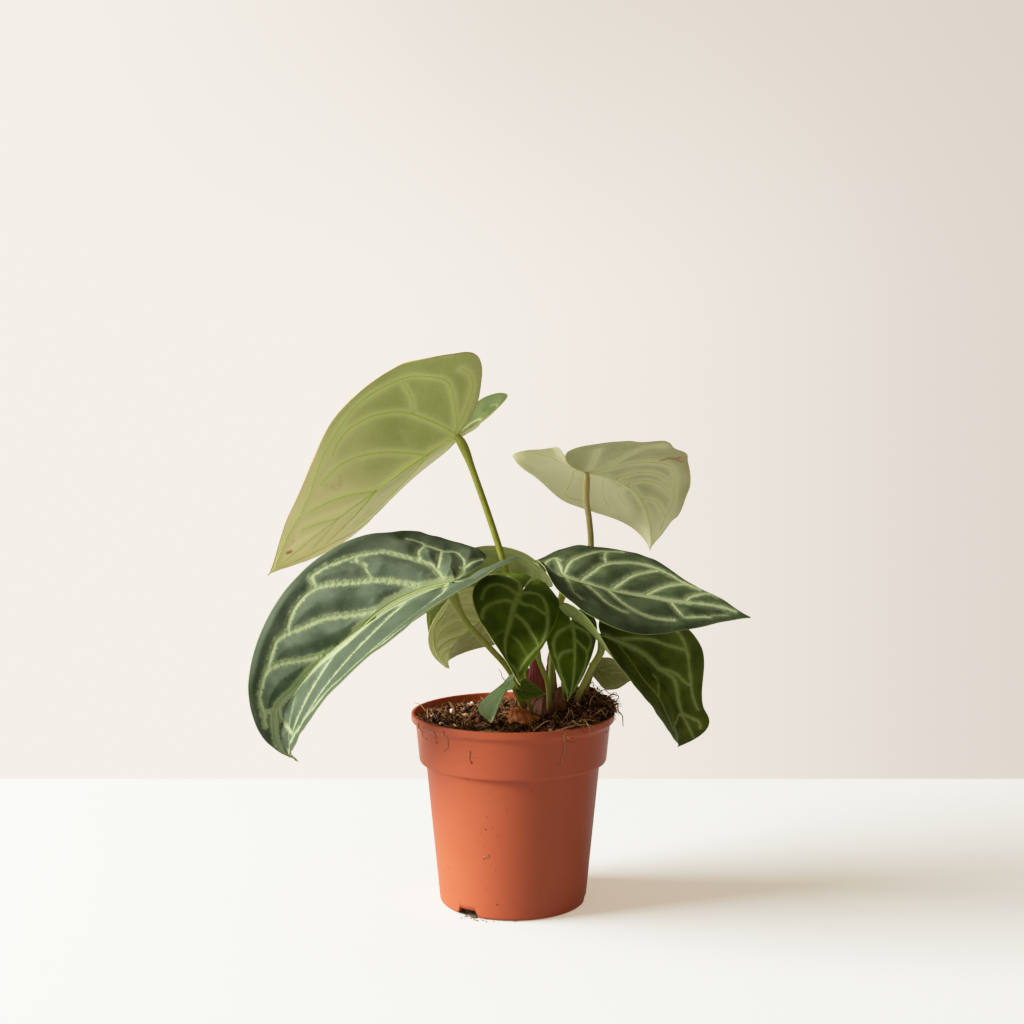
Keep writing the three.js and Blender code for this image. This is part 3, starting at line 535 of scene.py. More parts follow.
def make_piece(name, points, faces, looks, slot, node=None, attributes=None, flat=None, choice=None):
    """Makes a piece with its materials, attributes and flat UV map, riding on the root."""
    mesh = new_mesh(name, points, faces.tolist())
    mesh.polygons.foreach_set("use_smooth", np.ones(len(faces), bool))
    for look in looks:
        mesh.materials.append(LOOKS[look])
    if choice is not None:
        mesh.polygons.foreach_set("material_index", choice.astype(np.int32))
    for label, values in (attributes or {}).items():
        mesh.attributes.new(label, "FLOAT", "POINT").data.foreach_set("value", values.astype(np.float32))
    if flat is not None:
        corners = flat[faces.reshape(-1)] * MM
        mesh.uv_layers.new(name="flat").data.foreach_set("uv", corners.astype(np.float32).reshape(-1))
    mesh.update()
    piece = new_object(name, mesh)
    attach(piece, "root")
    if node:
        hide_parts(node)
    return piece


# ---------------------------------------------------------------- leaf blades

def eased(x):
    """x where it is positive, else 0, with the corner at 0 rounded."""
    return (x + np.sqrt(x * x + CORNER_EASE ** 2)) / 2


def turn_pair(first, second, angle):
    """Turns two unit vectors in their own plane by the angle, the first towards the second."""
    c, s = np.cos(angle)[..., None], np.sin(angle)[..., None]
    return c * first + s * second, c * second - s * first


def blade_frame(leaf, side, x):
    """Unit vectors at x along a blade: along the midrib, out to its left and up from its face."""
    heading, pitch, roll = np.radians(leaf.aim)
    along = np.array([math.cos(pitch) * math.cos(heading), math.cos(pitch) * math.sin(heading),
                      math.sin(pitch)])
    level = np.array([-math.sin(heading), math.cos(heading), 0])
    left = math.cos(roll) * level + math.sin(roll) * np.cross(along, level)
    up = np.cross(along, left)
    ahead = eased(x)
    bend = leaf.droop * ahead ** BEND_POWER - side.drop * eased(-x) / LOBE_REACH
    along, up = turn_pair(along, up, -np.radians(bend))
    along, left = turn_pair(along, left, np.radians(leaf.sway * ahead))
    left, up = turn_pair(left, up, np.radians(leaf.twist * ahead))
    return along, left, up


def reach_at(side, x):
    """The half width at x: a smooth curve through the five reaches at their stations."""
    share = np.interp(x, REACH_STATIONS, np.linspace(0, 1, len(REACH_STATIONS)))
    return spline(np.array(side.reach)[:, None], share.reshape(-1)).reshape(np.shape(x))


def half_blade(leaf, side, sign, x, y):
    """Points of one side: out from the midrib along an arc whose slope starts at the fold angle
    and grows evenly with the curl."""
    spot = np.where(x < 0, x * side.lobe, x)
    table = MIDRIB_TABLE
    step = table[1] - table[0]
    along = blade_frame(leaf, side, table[:-1] + step / 2)[0] * step * leaf.length
    places = np.concatenate([np.zeros((1, 3)), np.cumsum(along, axis=0)])
    midrib = read_at(spot, table, places - places[np.abs(table).argmin()])
    ahead = np.minimum(eased(spot), 1)
    behind = np.minimum(eased(-spot) / LOBE_REACH, 1)
    lobe_fold, stem_fold, tip_fold = side.fold
    fold = np.radians(stem_fold + (tip_fold - stem_fold) * ahead + (lobe_fold - stem_fold) * behind)
    curl = np.radians(side.curl[0] + (side.curl[1] - side.curl[0]) * ahead)
    bend = np.where(np.abs(curl) < 1e-6, 1e-6, curl) / (CURL_WIDTH * leaf.length)
    out = y * reach_at(side, x)
    lateral = (np.sin(fold + bend * out) - np.sin(fold)) / bend
    rise = (np.cos(fold) - np.cos(fold + bend * out)) / bend
    _, left, up = blade_frame(leaf, side, spot)
    return np.array(leaf.base) + midrib + sign * lateral[..., None] * left + rise[..., None] * up


def on_blade(leaf, x, y):
    """Points of a whole blade, its left side where y is positive."""
    left = half_blade(leaf, leaf.left, 1, x, np.maximum(y, 0))
    right = half_blade(leaf, leaf.right, -1, x, np.maximum(-y, 0))
    return np.where((y >= 0)[..., None], left, right)


def flattened(leaf, x, y):
    """The same points on the blade spread flat: millimetres along the midrib and to its left."""
    lobe = np.where(y >= 0, leaf.left.lobe, leaf.right.lobe)
    reach = np.where(y >= 0, reach_at(leaf.left, x), reach_at(leaf.right, x))
    return np.stack([np.where(x < 0, x * lobe, x) * leaf.length, y * reach], axis=-1)


def blade_normal(leaf, x, y, ahead=0.01, aside=0.04):
    """The unit normal of the upper face: the step along the blade crossed with the step to its left."""
    along = on_blade(leaf, x + ahead, y) - on_blade(leaf, x - ahead, y)
    across = on_blade(leaf, x, y + aside) - on_blade(leaf, x, y - aside)
    return unit(np.cross(along, across))


def blade_grid(name, columns, rows):
    """The flat grid of a whole blade: columns go round each half outline from the stem to the tip,
    and rows from the right margin over the midrib to the left one."""
    outlines = OWN_OUTLINES.get(name, (HALF_OUTLINE, HALF_OUTLINE))
    left, right = (spline(outline, np.linspace(0, 1, columns + 1)) for outline in outlines)
    across = np.linspace(-1, 1, 2 * rows + 1)
    edge = np.where((across < 0)[None, :, None], right[:, None], left[:, None])
    inner = np.maximum(0, ((right[:, 0] + left[:, 0]) / 2 - FAN) / (1 - FAN))[:, None]
    return inner + (edge[..., 0] - inner) * np.abs(across), edge[..., 1] * across


def pairs(row):
    """Numbers in hundredths, one after another, as points."""
    return np.reshape(row, (-1, 2)) / 100


def veins_of(name):
    """A leaf's own veins, or the plain pattern on both sides: widths and strength, and points."""
    if name in VEINS:
        return [(VEIN_KINDS[kind], pairs(row)) for kind, row in VEINS[name]]
    middle, *side = ((VEIN_KINDS[kind], pairs(row)) for kind, row in (PLAIN_MIDRIB, *PLAIN_SIDE))
    return [middle, *side, *((kind, points * (1, -1)) for kind, points in side)]


def vein_samples(leaf, name, widen):
    """Every vein as close points on the flat blade: place, half width, strength and distance run."""
    samples = []
    for number, ((start, end, strength), points) in enumerate(veins_of(name)):
        flat = flattened(leaf, *spline(points, np.linspace(0, 1, 60)).T)
        run = run_along(flat)
        even = np.linspace(0, run[-1], int(run[-1] / VEIN_STEP) + 2)
        half = widen * (start + (end - start) * (even / run[-1]))
        samples.append(np.column_stack([read_at(even, run, flat), half, np.full(len(even), strength),
                                        even + 97.0 * number]))
    return np.concatenate(samples)


def vein_field(flat, samples):
    """For each flat point, by the vein whose band reaches furthest over it: how deep the point is
    inside the band, how far from the vein's middle, how far along it and how strong it is."""
    rows = []
    for start in range(0, len(flat), FIELD_CHUNK):
        part = flat[start:start + FIELD_CHUNK]
        away = np.hypot(part[:, :1] - samples[:, 0], part[:, 1:] - samples[:, 1])
        best = (samples[:, 2] - away).argmax(axis=1)
        nearest = away[np.arange(len(part)), best]
        rows.append(np.stack([samples[best, 2] - nearest, nearest, samples[best, 4], samples[best, 3]], 1))
    return np.concatenate(rows).T


def blemishes(leaf, name, flat):
    """How brown each flat point is: 1 along the leaf's blemishes, fading out at their half width."""
    brown = np.zeros(len(flat))
    for strength, half, row in MARKS.get(name, []):
        line = flattened(leaf, *spline(pairs(row), np.linspace(0, 1, 24)).T)
        away = np.hypot(flat[:, :1] - line[:, 0], flat[:, 1:] - line[:, 1]).min(axis=1)
        brown = np.maximum(brown, strength * smoothstep(-away, -half * 1.5, -half * 0.5))
    return brown


def rib_parts(leaf, name, radius, step=2.2, widest=2.9, thinnest=0.16):
    """The raised ribs of the underside: a thin rod along each vein, half sunk in the blade."""
    parts = []
    scale = (leaf.length, 40)
    for (start, end, strength), points in veins_of(name):
        path = smooth_path(points * scale, step) / scale
        start = min(start, widest)
        thick = radius * (start + (end * 0.5 - start) * np.linspace(0, 1, len(path))) / 2.6
        centre = on_blade(leaf, *path.T) - blade_normal(leaf, *path.T) * (BLADE_THICKNESS * 0.5)
        parts.append(tube(centre, np.maximum(thick * (0.4 + 0.6 * strength), thinnest), 6))
    return parts


def make_leaf(name, leaf):
    """A blade: the curved sheet as two faces joined by a rim. The tissue bulges between the veins
    by bulge * (1 - exp(-(distance / 6.5 mm)^2)), and the margin waves a little."""
    bulge, widen, top_look, under_look, (left_pale_and_shade, right_pale, stem_pale) = LEAF_LOOKS[name]
    x, y = blade_grid(name, *leaf.cells)
    flat = flattened(leaf, x, y).reshape(-1, 2)
    keys = np.round(flat * 1e4).astype(np.int64)
    _, keep, place = np.unique(keys, axis=0, return_index=True, return_inverse=True)
    flat, sheet = flat[keep], on_blade(leaf, x, y).reshape(-1, 3)[keep]
    place = place.reshape(x.shape)
    faces = without_collapsed(place.reshape(-1)[grid_faces(*x.shape)])
    right, left = place[:, 0], place[:, -1]
    rim = flat[np.concatenate([right, left])]
    band, away, along, strength = vein_field(flat, vein_samples(leaf, name, widen))
    edge = vein_field(flat, np.column_stack([rim, np.zeros((len(rim), 3))]))[1]
    lift = bulge * (1 - np.exp(-(away / TISSUE_REACH) ** 2)) * smoothstep(edge, 0, 5)
    lift += 0.35 * bulge * lattice_noise(*flat.T, 9, SEED) * smoothstep(edge, 14, 2)
    # A side below 0 is painted shade: its tissue is coloured darker there.
    pale = (left_pale_and_shade * smoothstep(flat[:, 1], 2, 14) + right_pale * smoothstep(-flat[:, 1], 2, 14)
            + stem_pale * np.exp(-(np.hypot(*flat.T) / STEM_PATCH) ** 2))
    normal = corner_normals(sheet, faces)
    half = BLADE_THICKNESS / 2 * (0.5 + 0.5 * smoothstep(edge, 0, 3))
    count = len(sheet)
    strips = np.concatenate([edge_band(right[:-1], right[1:], count),
                             edge_band(left[:-1], left[1:], count)[:, ::-1]])
    shell = np.concatenate([sheet + normal * (lift + half)[:, None],
                            sheet + normal * (lift - half)[:, None]])
    shell_faces = np.concatenate([faces, faces[:, ::-1] + count, without_collapsed(strips)])
    points, all_faces = joined([(shell, shell_faces), *rib_parts(leaf, name, leaf.radius * 0.42)])
    ribs = np.ones(len(points) - 2 * count)
    fields = {"band": (band, 2), "away": (away, 0), "along": (along, 0), "strength": (strength, 1),
              "edge": (edge, RIB_INSIDE), "pale": (pale, 0), "mark": (blemishes(leaf, name, flat), 0)}
    attributes = {label: np.r_[face, face, on_ribs * ribs] for label, (face, on_ribs) in fields.items()}
    make_piece(f"blade_{name}", points, all_faces, [top_look, under_look], "blade", f"leaf_{name}",
               attributes, np.concatenate([flat, flat, np.zeros((len(ribs), 2))]),
               np.arange(len(all_faces)) >= len(faces))


def make_stem(name, leaf, sides=14):
    """A stem: a rod along its path. It is a quarter thicker at the foot and swells by the knee
    share over the last stretch below the blade."""
    path = smooth_path([*leaf.stem, leaf.base], 1.5)
    length = run_along(path)[-1]
    share = np.linspace(0, 1, len(path))
    down, up = share * length, (1 - share) * length
    radius = leaf.radius * (1 + 0.25 * np.exp(-(down / 16) ** 2))
    radius *= (1 + leaf.knee * np.exp(-((up - 7) / 9) ** 2)) * (0.7 + 0.3 * smoothstep(up, 0, 4))
    attributes = {"up": np.r_[np.repeat(up, sides), length, 0],
                  "foot": np.r_[np.repeat(down, sides), 0, length]}
    make_piece(f"petiole_{name}", *tube(path, radius, sides), [STEM_LOOKS.get(name, "stem_green")],
               "stem", f"stem_{name}", attributes)


# ---------------------------------------------------------------- pot

def rounded(profile, radius, steps=5):
    """A profile with each inner corner swept round: between points at the radius from the corner,
    the quadratic curve that has the corner as its middle handle."""
    before, corner, after = profile[:-2], profile[1:-1], profile[2:]
    into, out_of = before - corner, after - corner
    shorter = np.minimum(np.linalg.norm(into, axis=1), np.linalg.norm(out_of, axis=1))
    near = np.minimum(radius, 0.45 * shorter)
    start, end = corner + unit(into) * near[:, None], corner + unit(out_of) * near[:, None]
    t = np.linspace(0, 1, steps)[None, :, None]
    curve = (1 - t) ** 2 * start[:, None] + 2 * t * (1 - t) * corner[:, None] + t ** 2 * end[:, None]
    return np.concatenate([profile[:1], curve.reshape(-1, 2), profile[-1:]])


def split_long(profile, longest):
    """The same profile with extra points so that no part of it is longer than the given length."""
    run = run_along(profile)
    extra = [np.linspace(a, b, int((b - a) / longest) + 2) for a, b in zip(run[:-1], run[1:])]
    return read_at(np.unique(np.concatenate(extra)), run, profile)


def pot_profile(edge=0.7, longest=5.0):
    """The pot's section, from the middle of its foot up the outside, over the lip and down inside."""
    base, corner, wall, inner = POT.base, POT.corner, POT.wall, POT.rim - POT.lip_wall
    foot = math.pi / 2 * np.linspace(-1, 0, 7)
    section = [(0, 0), *zip(base - corner + corner * np.cos(foot), corner + corner * np.sin(foot)),
               *OUTER_WALL, (inner, POT.height), (inner - POT.lip_round / 2, POT.height - POT.lip_round),
               (POT.collar_top[0] - wall, POT.collar_top[1]),
               (POT.collar_foot[0] - wall, POT.collar_foot[1] + wall),
               (POT.body_top[0] - wall, POT.body_top[1]), (base - wall, POT.floor + corner),
               (base - corner - wall / 2, POT.floor), (0, POT.floor)]
    return split_long(rounded(np.array(section, float), edge), longest)


def notch_cutter(angle):
    """A drain notch's own form: a prism across the bottom corner, wider at the foot."""
    foot, top, height = NOTCH.width / 2, NOTCH.top / 2, NOTCH.height
    section = [(-foot, -1), (foot, -1), (foot, 0), (top, height), (-top, height), (-foot, 0)]
    ends = (-POT.base - NOTCH.reach, -POT.base + NOTCH.reach)
    points = np.array([(x, y, z) for y in ends for x, z in section])
    sides = [(i, i + 6, (i + 1) % 6 + 6, (i + 1) % 6) for i in range(6)]
    faces = [tuple(range(6)), tuple(range(11, 5, -1)), *sides]
    return new_object("notch", new_mesh("notch", points @ turned(2, np.radians([angle]))[0].T, faces))


def make_pot():
    """The pot: its section revolved, with the three drain notches cut out of the foot."""
    pot = make_piece("nursery_pot", *revolved(pot_profile(), 240), ["terracotta"], "terracotta", "pot")
    cutters = [notch_cutter(angle) for angle in NOTCH.angles]
    for cutter in cutters:
        cut = pot.modifiers.new("notch", "BOOLEAN")
        cut.operation = "DIFFERENCE"
        cut.solver = "EXACT"
        cut.object = cutter
    shaped = bpy.data.meshes.new_from_object(pot.evaluated_get(bpy.context.evaluated_depsgraph_get()))
    pot.modifiers.clear()
    pot.data = shaped
    for cutter in cutters:
        bpy.data.objects.remove(cutter)


# ---------------------------------------------------------------- soil, crown and scales

def soil_height(x, y):
    """The soil's plain surface: a level with a bell-shaped heap that is lower at the wall."""
    heap_x, heap_y, heap = SOIL.heap
    far = ((x - heap_x) / SOIL.spread[0]) ** 2 + ((y - heap_y) / SOIL.spread[1]) ** 2
    edge = smoothstep(np.hypot(x, y), SOIL.shoulder, POT.rim)
    return SOIL.level + heap * np.exp(-far / 2) * (1 - SOIL.wall_share * edge)


def crumbly_height(x, y):
    """The plain surface with three sizes of lumps on it."""
    lumps = 1.1 * lattice_noise(x, y, 7, 3) + 0.9 * np.abs(lattice_noise(x, y, 3.1, 4))
    return soil_height(x, y) - 0.6 + lumps + 0.6 * lattice_noise(x, y, 1.4, 5)


def make_soil(rings=90, sides=240, inset=1.5):
    """The soil: up the wall as a plain shape, then a fine crumbly top from the wall to the middle."""
    wall = [(0, POT.floor + 0.1), (POT.base - 3, POT.floor + 0.1), (POT.base - 1.6, 5),
            (POT.body_top[0] - inset, POT.body_top[1]), (POT.collar_foot[0] - inset, 88)]
    out = SOIL.radius * (1 - np.linspace(0, 1, rings + 1) ** 1.15)
    points, faces = revolved(np.array([*wall, *((radius, 0) for radius in out)]), sides)
    upper = np.r_[(len(wall) - 1) * sides:len(points) - 2, len(points) - 1]
    points[upper, 2] = crumbly_height(points[upper, 0], points[upper, 1])
    make_piece("potting_soil", points, faces, ["soil_dark"], "soil", "soil")


CHIP = np.array([(1, 0, 0), (0, 1, 0), (-1, 0, 0), (0, -1, 0), (0, 0, 1), (0, 0, -1)], float)
CHIP_FACES = np.array([(0, 1, 4), (1, 2, 4), (2, 3, 4), (3, 0, 4),
                       (1, 0, 5), (2, 1, 5), (3, 2, 5), (0, 3, 5)])


def strew(name, rng, places, lean, sizes, tones=(0, 1), jag=0.0):
    """Flakes at their places with their sizes, randomly turned, each with a random tone."""
    count = len(places)
    points, faces = scattered(CHIP, CHIP_FACES, places, random_turns(rng, count, lean), sizes)
    if jag:
        points += rng.normal(0, jag, points.shape)
    tone = np.repeat(rng.uniform(*tones, count), len(CHIP))
    make_piece(name, points, faces, ["soil_chip"], "soil", attributes={"tone": tone})


def lay_threads(name, paths, radii, tones):
    """Thin fibres along the paths, each with its tone."""
    tone = np.repeat(tones, paths.shape[1] * 3)
    make_piece(name, *threads(paths, radii), ["dry_fibre"], "soil", attributes={"tone": tone})


def soil_places(rng, count, inset):
    """Random places over the soil, even over its area."""
    angle = rng.uniform(0, 2 * np.pi, count)
    out = (SOIL.radius - inset) * np.sqrt(rng.uniform(0, 1, count))
    return out * np.cos(angle), out * np.sin(angle)


def make_chips(name, count, smallest, spread, seed):
    """Bark chips or crumbs: jagged flakes of random size strewn over the soil."""
    rng = np.random.default_rng(seed)
    x, y = soil_places(rng, count, 1.0)
    size = rng.gamma(2.0, spread, count) + smallest
    sizes = [size * rng.uniform(*share, count) for share in ((0.8, 2.2), (0.45, 1.0), (0.2, 0.6))]
    places = np.stack([x, y, crumbly_height(x, y) + 0.45 * size], axis=1)
    strew(name, rng, places, 1.0, np.stack(sizes, axis=1), jag=0.12 * smallest)


def curled_paths(rng, start, reach, curl=0.4, steps=7):
    """A path from each start: straight in a random direction, bent by a slow random swing."""
    count = len(start)
    share = np.linspace(0, 1, steps)[None, :, None]
    turn, lift = rng.uniform(0, 2 * np.pi, count), rng.normal(0.25, 0.4, count)
    ahead = np.stack([np.cos(turn), np.sin(turn), lift], axis=1)[:, None]
    aside = np.stack([-np.sin(turn), np.cos(turn), rng.normal(0, 0.6, count)], axis=1)[:, None]
    amount = rng.normal(0, curl, (count, 1, 1))
    swing = amount * np.sin(np.pi * share * rng.uniform(0.7, 2.2, (count, 1, 1)))
    sag = np.array([0, 0, -0.35]) * share ** 2
    return start[:, None] + reach[:, None, None] * (ahead * share + aside * swing + sag)


def pulled_in(places, radius):
    """Brings places that lie further out than the radius back to it; returns how far out they lay."""
    out = np.hypot(places[..., 0], places[..., 1])
    places[..., :2] *= np.minimum(1, radius / out)[..., None]
    return out


def make_fibres(count=900):
    """Coir fibres and fine roots strewn over the soil."""
    rng = np.random.default_rng(SEED + 1)
    x, y = soil_places(rng, count, 3.0)
    start = np.stack([x, y, crumbly_height(x, y) + rng.uniform(0, 1.2, count)], axis=1)
    paths = curled_paths(rng, start, rng.gamma(3.0, 1.1, count) + 2.0, 0.7)
    pulled_in(paths, SOIL.radius + 0.8)
    paths[..., 2] = np.maximum(paths[..., 2], soil_height(paths[..., 0], paths[..., 1]) + 0.4)
    lay_threads("coir_fibres", paths, rng.uniform(0.1, 0.26, count), rng.uniform(0, 1, count))


def near_tufts(rng, chosen, spread, height):
    """Random places round the chosen tufts, spread by their breadth and flatter than they are wide."""
    tufts = np.array(TUFTS)[chosen]
    drift = rng.normal(0, spread, (len(chosen), 3)) * tufts[:, 3:]
    return tufts[:, :3] + drift * (1, 1, height)


def make_tufts(fibres=1300, crumbs=900, lip=3.2):
    """Fluffy clumps of coir heaped at the right and spilling over the rim: fibres and crumbs
    packed round a few middles, thinning outwards."""
    rng = np.random.default_rng(SEED + 2)
    start = near_tufts(rng, rng.integers(0, len(TUFTS), fibres), 0.55, 0.6)
    paths = curled_paths(rng, start, rng.gamma(3.0, 0.55, fibres) + 1.2, 0.9)
    out = np.hypot(paths[..., 0], paths[..., 1])
    floor = np.where(out > POT.rim - lip, POT.height + 0.3, soil_height(paths[..., 0], paths[..., 1]))
    lowest = np.where(out > POT.rim + 0.6, paths[..., 2], floor + 0.2)
    paths[..., 2] = np.maximum(paths[..., 2], lowest)
    lay_threads("coir_tufts", paths, rng.uniform(0.1, 0.3, fibres), rng.uniform(0, 1, fibres) ** 1.5)
    chosen = rng.integers(0, len(TUFTS), crumbs)
    size = rng.gamma(2.0, 0.36, crumbs) + 0.35
    places = near_tufts(rng, chosen, 0.5, 0.5)
    out = pulled_in(places, POT.rim - 0.5)
    floor = np.where(out > POT.rim - lip, POT.height, crumbly_height(places[:, 0], places[:, 1]))
    places[:, 2] = np.maximum(places[:, 2], floor + 0.3 * size)
    strew("tuft_crumbs", rng, places, 1.2, size[:, None] * rng.uniform(0.4, 1.4, (crumbs, 3)))


def on_wall(angle, height, off):
    """A place on the pot's outer wall, at an angle from the front and a height, standing off it."""
    radii, heights = zip((POT.base, POT.corner), *OUTER_WALL)
    turn = np.radians(angle)
    radius = np.interp(height, heights, radii) + off
    return np.stack([radius * np.sin(turn), -radius * np.cos(turn), height], axis=-1)


def make_loose_bits():
    """Roots on the wall and over the rim, specks on the wall, and crumbs and roots round the foot."""
    rng = np.random.default_rng(SEED + 3)
    parts = []
    for radius, stops in WALL_ROOTS:
        angle, height = smooth_path(stops, 0.8).T
        angle = angle + 0.9 * lattice_noise(height, angle, 2.6, 27)
        taper = radius * np.linspace(1, 0.5, len(angle))
        parts.append(tube(on_wall(angle, height, radius * 0.8), taper, 5))
    for radius, stops in LOOSE_ROOTS:
        path = smooth_path(stops, 0.8)
        wander = [lattice_noise(path[:, 2], path[:, k], 2.5, 20 + k) for k in range(3)]
        path += 0.35 * np.stack(wander, axis=1)
        parts.append(tube(path, radius * np.linspace(1, 0.45, len(path)), 6))
    tone = np.repeat(rng.uniform(0.6, 1, len(parts)), [len(points) for points, _ in parts])
    make_piece("loose_roots", *joined(parts), ["dry_fibre"], "soil", attributes={"tone": tone})

    more = rng.uniform((-180, 4, 0.18), (180, 111, 0.42), (110, 3))
    on_collar_step = (more[:, 1] >= 84) & (more[:, 1] <= 87)
    angle, height, size = np.concatenate([WALL_SPECKS, more[~on_collar_step]]).T
    stretch = size[:, None] * rng.uniform(0.5, 1.0, (len(size), 3))
    strew("wall_specks", rng, on_wall(angle, height, 0.1), 1.5, stretch, (0, 0.9))

    near, around = 32, 6
    count = near + around
    turn = np.radians(np.r_[rng.normal(-30, 9, near), rng.uniform(-180, 180, around)])
    out = np.r_[rng.normal(43.5, 2.0, near), rng.uniform(44, 47, around)]
    size = rng.uniform(0.25, 0.8, count)
    places = np.stack([out * np.sin(turn), -out * np.cos(turn), 0.5 * size], axis=1)
    stretch = [rng.uniform(0.6, 1.6, count), rng.uniform(0.5, 1, count), np.full(count, 0.48)]
    strew("foot_crumbs", rng, places, 0.0, size[:, None] * np.stack(stretch, axis=1), (0.3, 1))

    start = np.array([(-27, -33.5, 0.6), (-24, -36, 0.5), (-22, -37.5, 0.7), (0, -43.6, 0.4),
                      (-29, -32.5, 1.2)])
    paths = curled_paths(rng, start, np.array([4.5, 5.0, 3.5, 3.0, 3.5]))
    paths[..., 2] = np.clip(paths[..., 2], 0.3, 2.2)
    lay_threads("foot_roots", paths, np.full(len(start), 0.25), rng.uniform(0.6, 1, len(start)))


def make_perlite():
    """White perlite beads: balls pushed in and out by lattice noise."""
    x, y, size = np.array(PERLITE).T
    angle = np.linspace(0, np.pi, 9)
    ball, faces = revolved(np.stack([np.sin(angle), -np.cos(angle)], axis=1), 12)
    ball *= 1 + 0.16 * lattice_noise(ball[:, 0] + 3, ball[:, 1] * 0.7 + ball[:, 2], 0.55, 9)[:, None]
    places = np.stack([x, y, crumbly_height(x, y) + 1.3 * size], axis=1)
    rng = np.random.default_rng(SEED + 4)
    sizes = size[:, None] * rng.uniform(0.8, 1.1, (len(size), 3))
    beads = scattered(ball, faces, places, random_turns(rng, len(size), 1.5), sizes)
    make_piece("perlite_beads", *beads, ["perlite"], "soil")


def make_scale(name, foot, tip, facing, width, wrap, stray, rows=45, columns=31):
    """A dry scale: a pointed sheet curved round an upright axis; its edges stray and its face is
    ridged lengthwise. Two faces and a rim close it."""
    height, across = np.linspace(0, 1, rows)[:, None], np.linspace(-1, 1, columns)[None]
    turn = math.radians(facing)
    out, side = np.array([(math.cos(turn), math.sin(turn), 0), (-math.sin(turn), math.cos(turn), 0)])
    half = width / 2 * np.cos(height * np.pi / 2) ** SCALE_TAPER
    edge = lattice_noise(height * 30, across * 2 + 5, 2.2, 31) * stray * np.abs(across)
    angle = across * (half + edge * smoothstep(half, 0, 3)) / wrap
    ripple = 0.16 * np.sin(across * 17) + 0.5 * stray * lattice_noise(height * 18, across * 6 + 9, 3, 32)
    radius = wrap + ripple
    sheet = (foot + np.subtract(tip, foot) * height[..., None] + (radius * np.sin(angle))[..., None] * side
             + (radius * np.cos(angle) - wrap)[..., None] * out)
    points, faces = sheet.reshape(-1, 3), grid_faces(rows, columns)[:, ::-1]
    normal = corner_normals(points, faces)
    count = len(points)
    index = np.arange(count).reshape(rows, columns)
    loop = np.concatenate([index[0], index[1:, -1], index[-1, -2::-1], index[-2:0:-1, 0]])
    rim = edge_band(loop, np.roll(loop, -1), count)[:, ::-1]
    shell = np.concatenate([points + normal * 0.2, points - normal * 0.2])
    attributes = {label: np.tile(np.broadcast_to(values, angle.shape).reshape(-1), 2)
                  for label, values in (("height", height), ("across", across))}
    make_piece(f"dry_scale_{name}", shell, np.concatenate([faces, faces[:, ::-1] + count, rim]),
               [f"scale_{name}"], f"scale_{name}", f"scale_{name}", attributes)


def make_crown():
    """The crown: its outline revolved, with upright ridges from the bases of old stems."""
    outline = smooth_path(CROWN.outline, 0.8)
    points, faces = revolved(np.concatenate([[(0, CROWN.outline[0][1])], outline]), 90)
    angle = np.arctan2(points[:, 1], points[:, 0])
    ridge = 1 + 0.05 * np.sin(9 * angle + points[:, 2] * 0.2) + 0.03 * np.sin(23 * angle)
    points[:, :2] = points[:, :2] * ridge[:, None] + CROWN.place
    make_piece("old_crown", points, faces, ["crown_brown"], "crown", "crown")


# ---------------------------------------------------------------- shader nodes

def is_socket(value):
    """Whether a value is a node's socket."""
    return isinstance(value, bpy.types.NodeSocket)


def srgb(red, green, blue):
    """A colour given in display values from 0 to 255, as the linear colour a shader takes."""
    shares = [value / 255 for value in (red, green, blue)]
    return (*(s / 12.92 if s <= 0.04045 else ((s + 0.055) / 1.055) ** 2.4 for s in shares), 1.0)


def add(tree, kind, inputs=None, **settings):
    """Adds a shader node with its settings; an input is linked where it is given a socket, else set."""
    node = tree.nodes.new("ShaderNode" + kind)
    for name, value in settings.items():
        setattr(node, name, value)
    for name, value in (inputs or {}).items():
        if is_socket(value):
            tree.links.new(value, node.inputs[name])
        else:
            node.inputs[name].default_value = value
    return node


def calc(operation, first, second=0.0):
    """A sum worked out by a Math node."""
    tree = (first if is_socket(first) else second).id_data
    return add(tree, "Math", {0: first, 1: second}, operation=operation).outputs[0]


def times(first, second):
    """The product of two values."""
    return calc("MULTIPLY", first, second)


def ramp(value, low, high, start=0.0, end=1.0):
    """Goes smoothly from start to end as the value goes from low to high."""
    inputs = {"Value": value, "From Min": low, "From Max": high, "To Min": start, "To Max": end}
    return add(value.id_data, "MapRange", inputs, interpolation_type="SMOOTHSTEP").outputs[0]


def mix(factor, first, second):
    """The first colour turning into the second as the factor goes from 0 to 1. Three numbers are a
    colour in display values, four are a colour as the shader takes it."""
    first, second = (srgb(*colour) if not is_socket(colour) and len(colour) == 3 else colour
                     for colour in (first, second))
    return add(factor.id_data, "Mix", {0: factor, 6: first, 7: second}, data_type="RGBA").outputs[2]


def attribute(tree, name):
    """Reads one of a piece's own attributes."""
    return add(tree, "Attribute", attribute_name=name, attribute_type="GEOMETRY").outputs["Fac"]


def noise(vector, scale, detail=2.0, rough=0.5):
    """Soft noise on a vector."""
    inputs = {"Vector": vector, "Scale": scale, "Detail": detail, "Roughness": rough}
    return add(vector.id_data, "TexNoise", inputs).outputs["Fac"]


def coords(tree, kind="Object"):
    """The piece's Object coordinates, in metres."""
    return add(tree, "TexCoord").outputs[kind]


def flat_map(tree):
    """The piece's own flat UV map, in metres."""
    return add(tree, "UVMap", uv_map="flat").outputs["UV"]


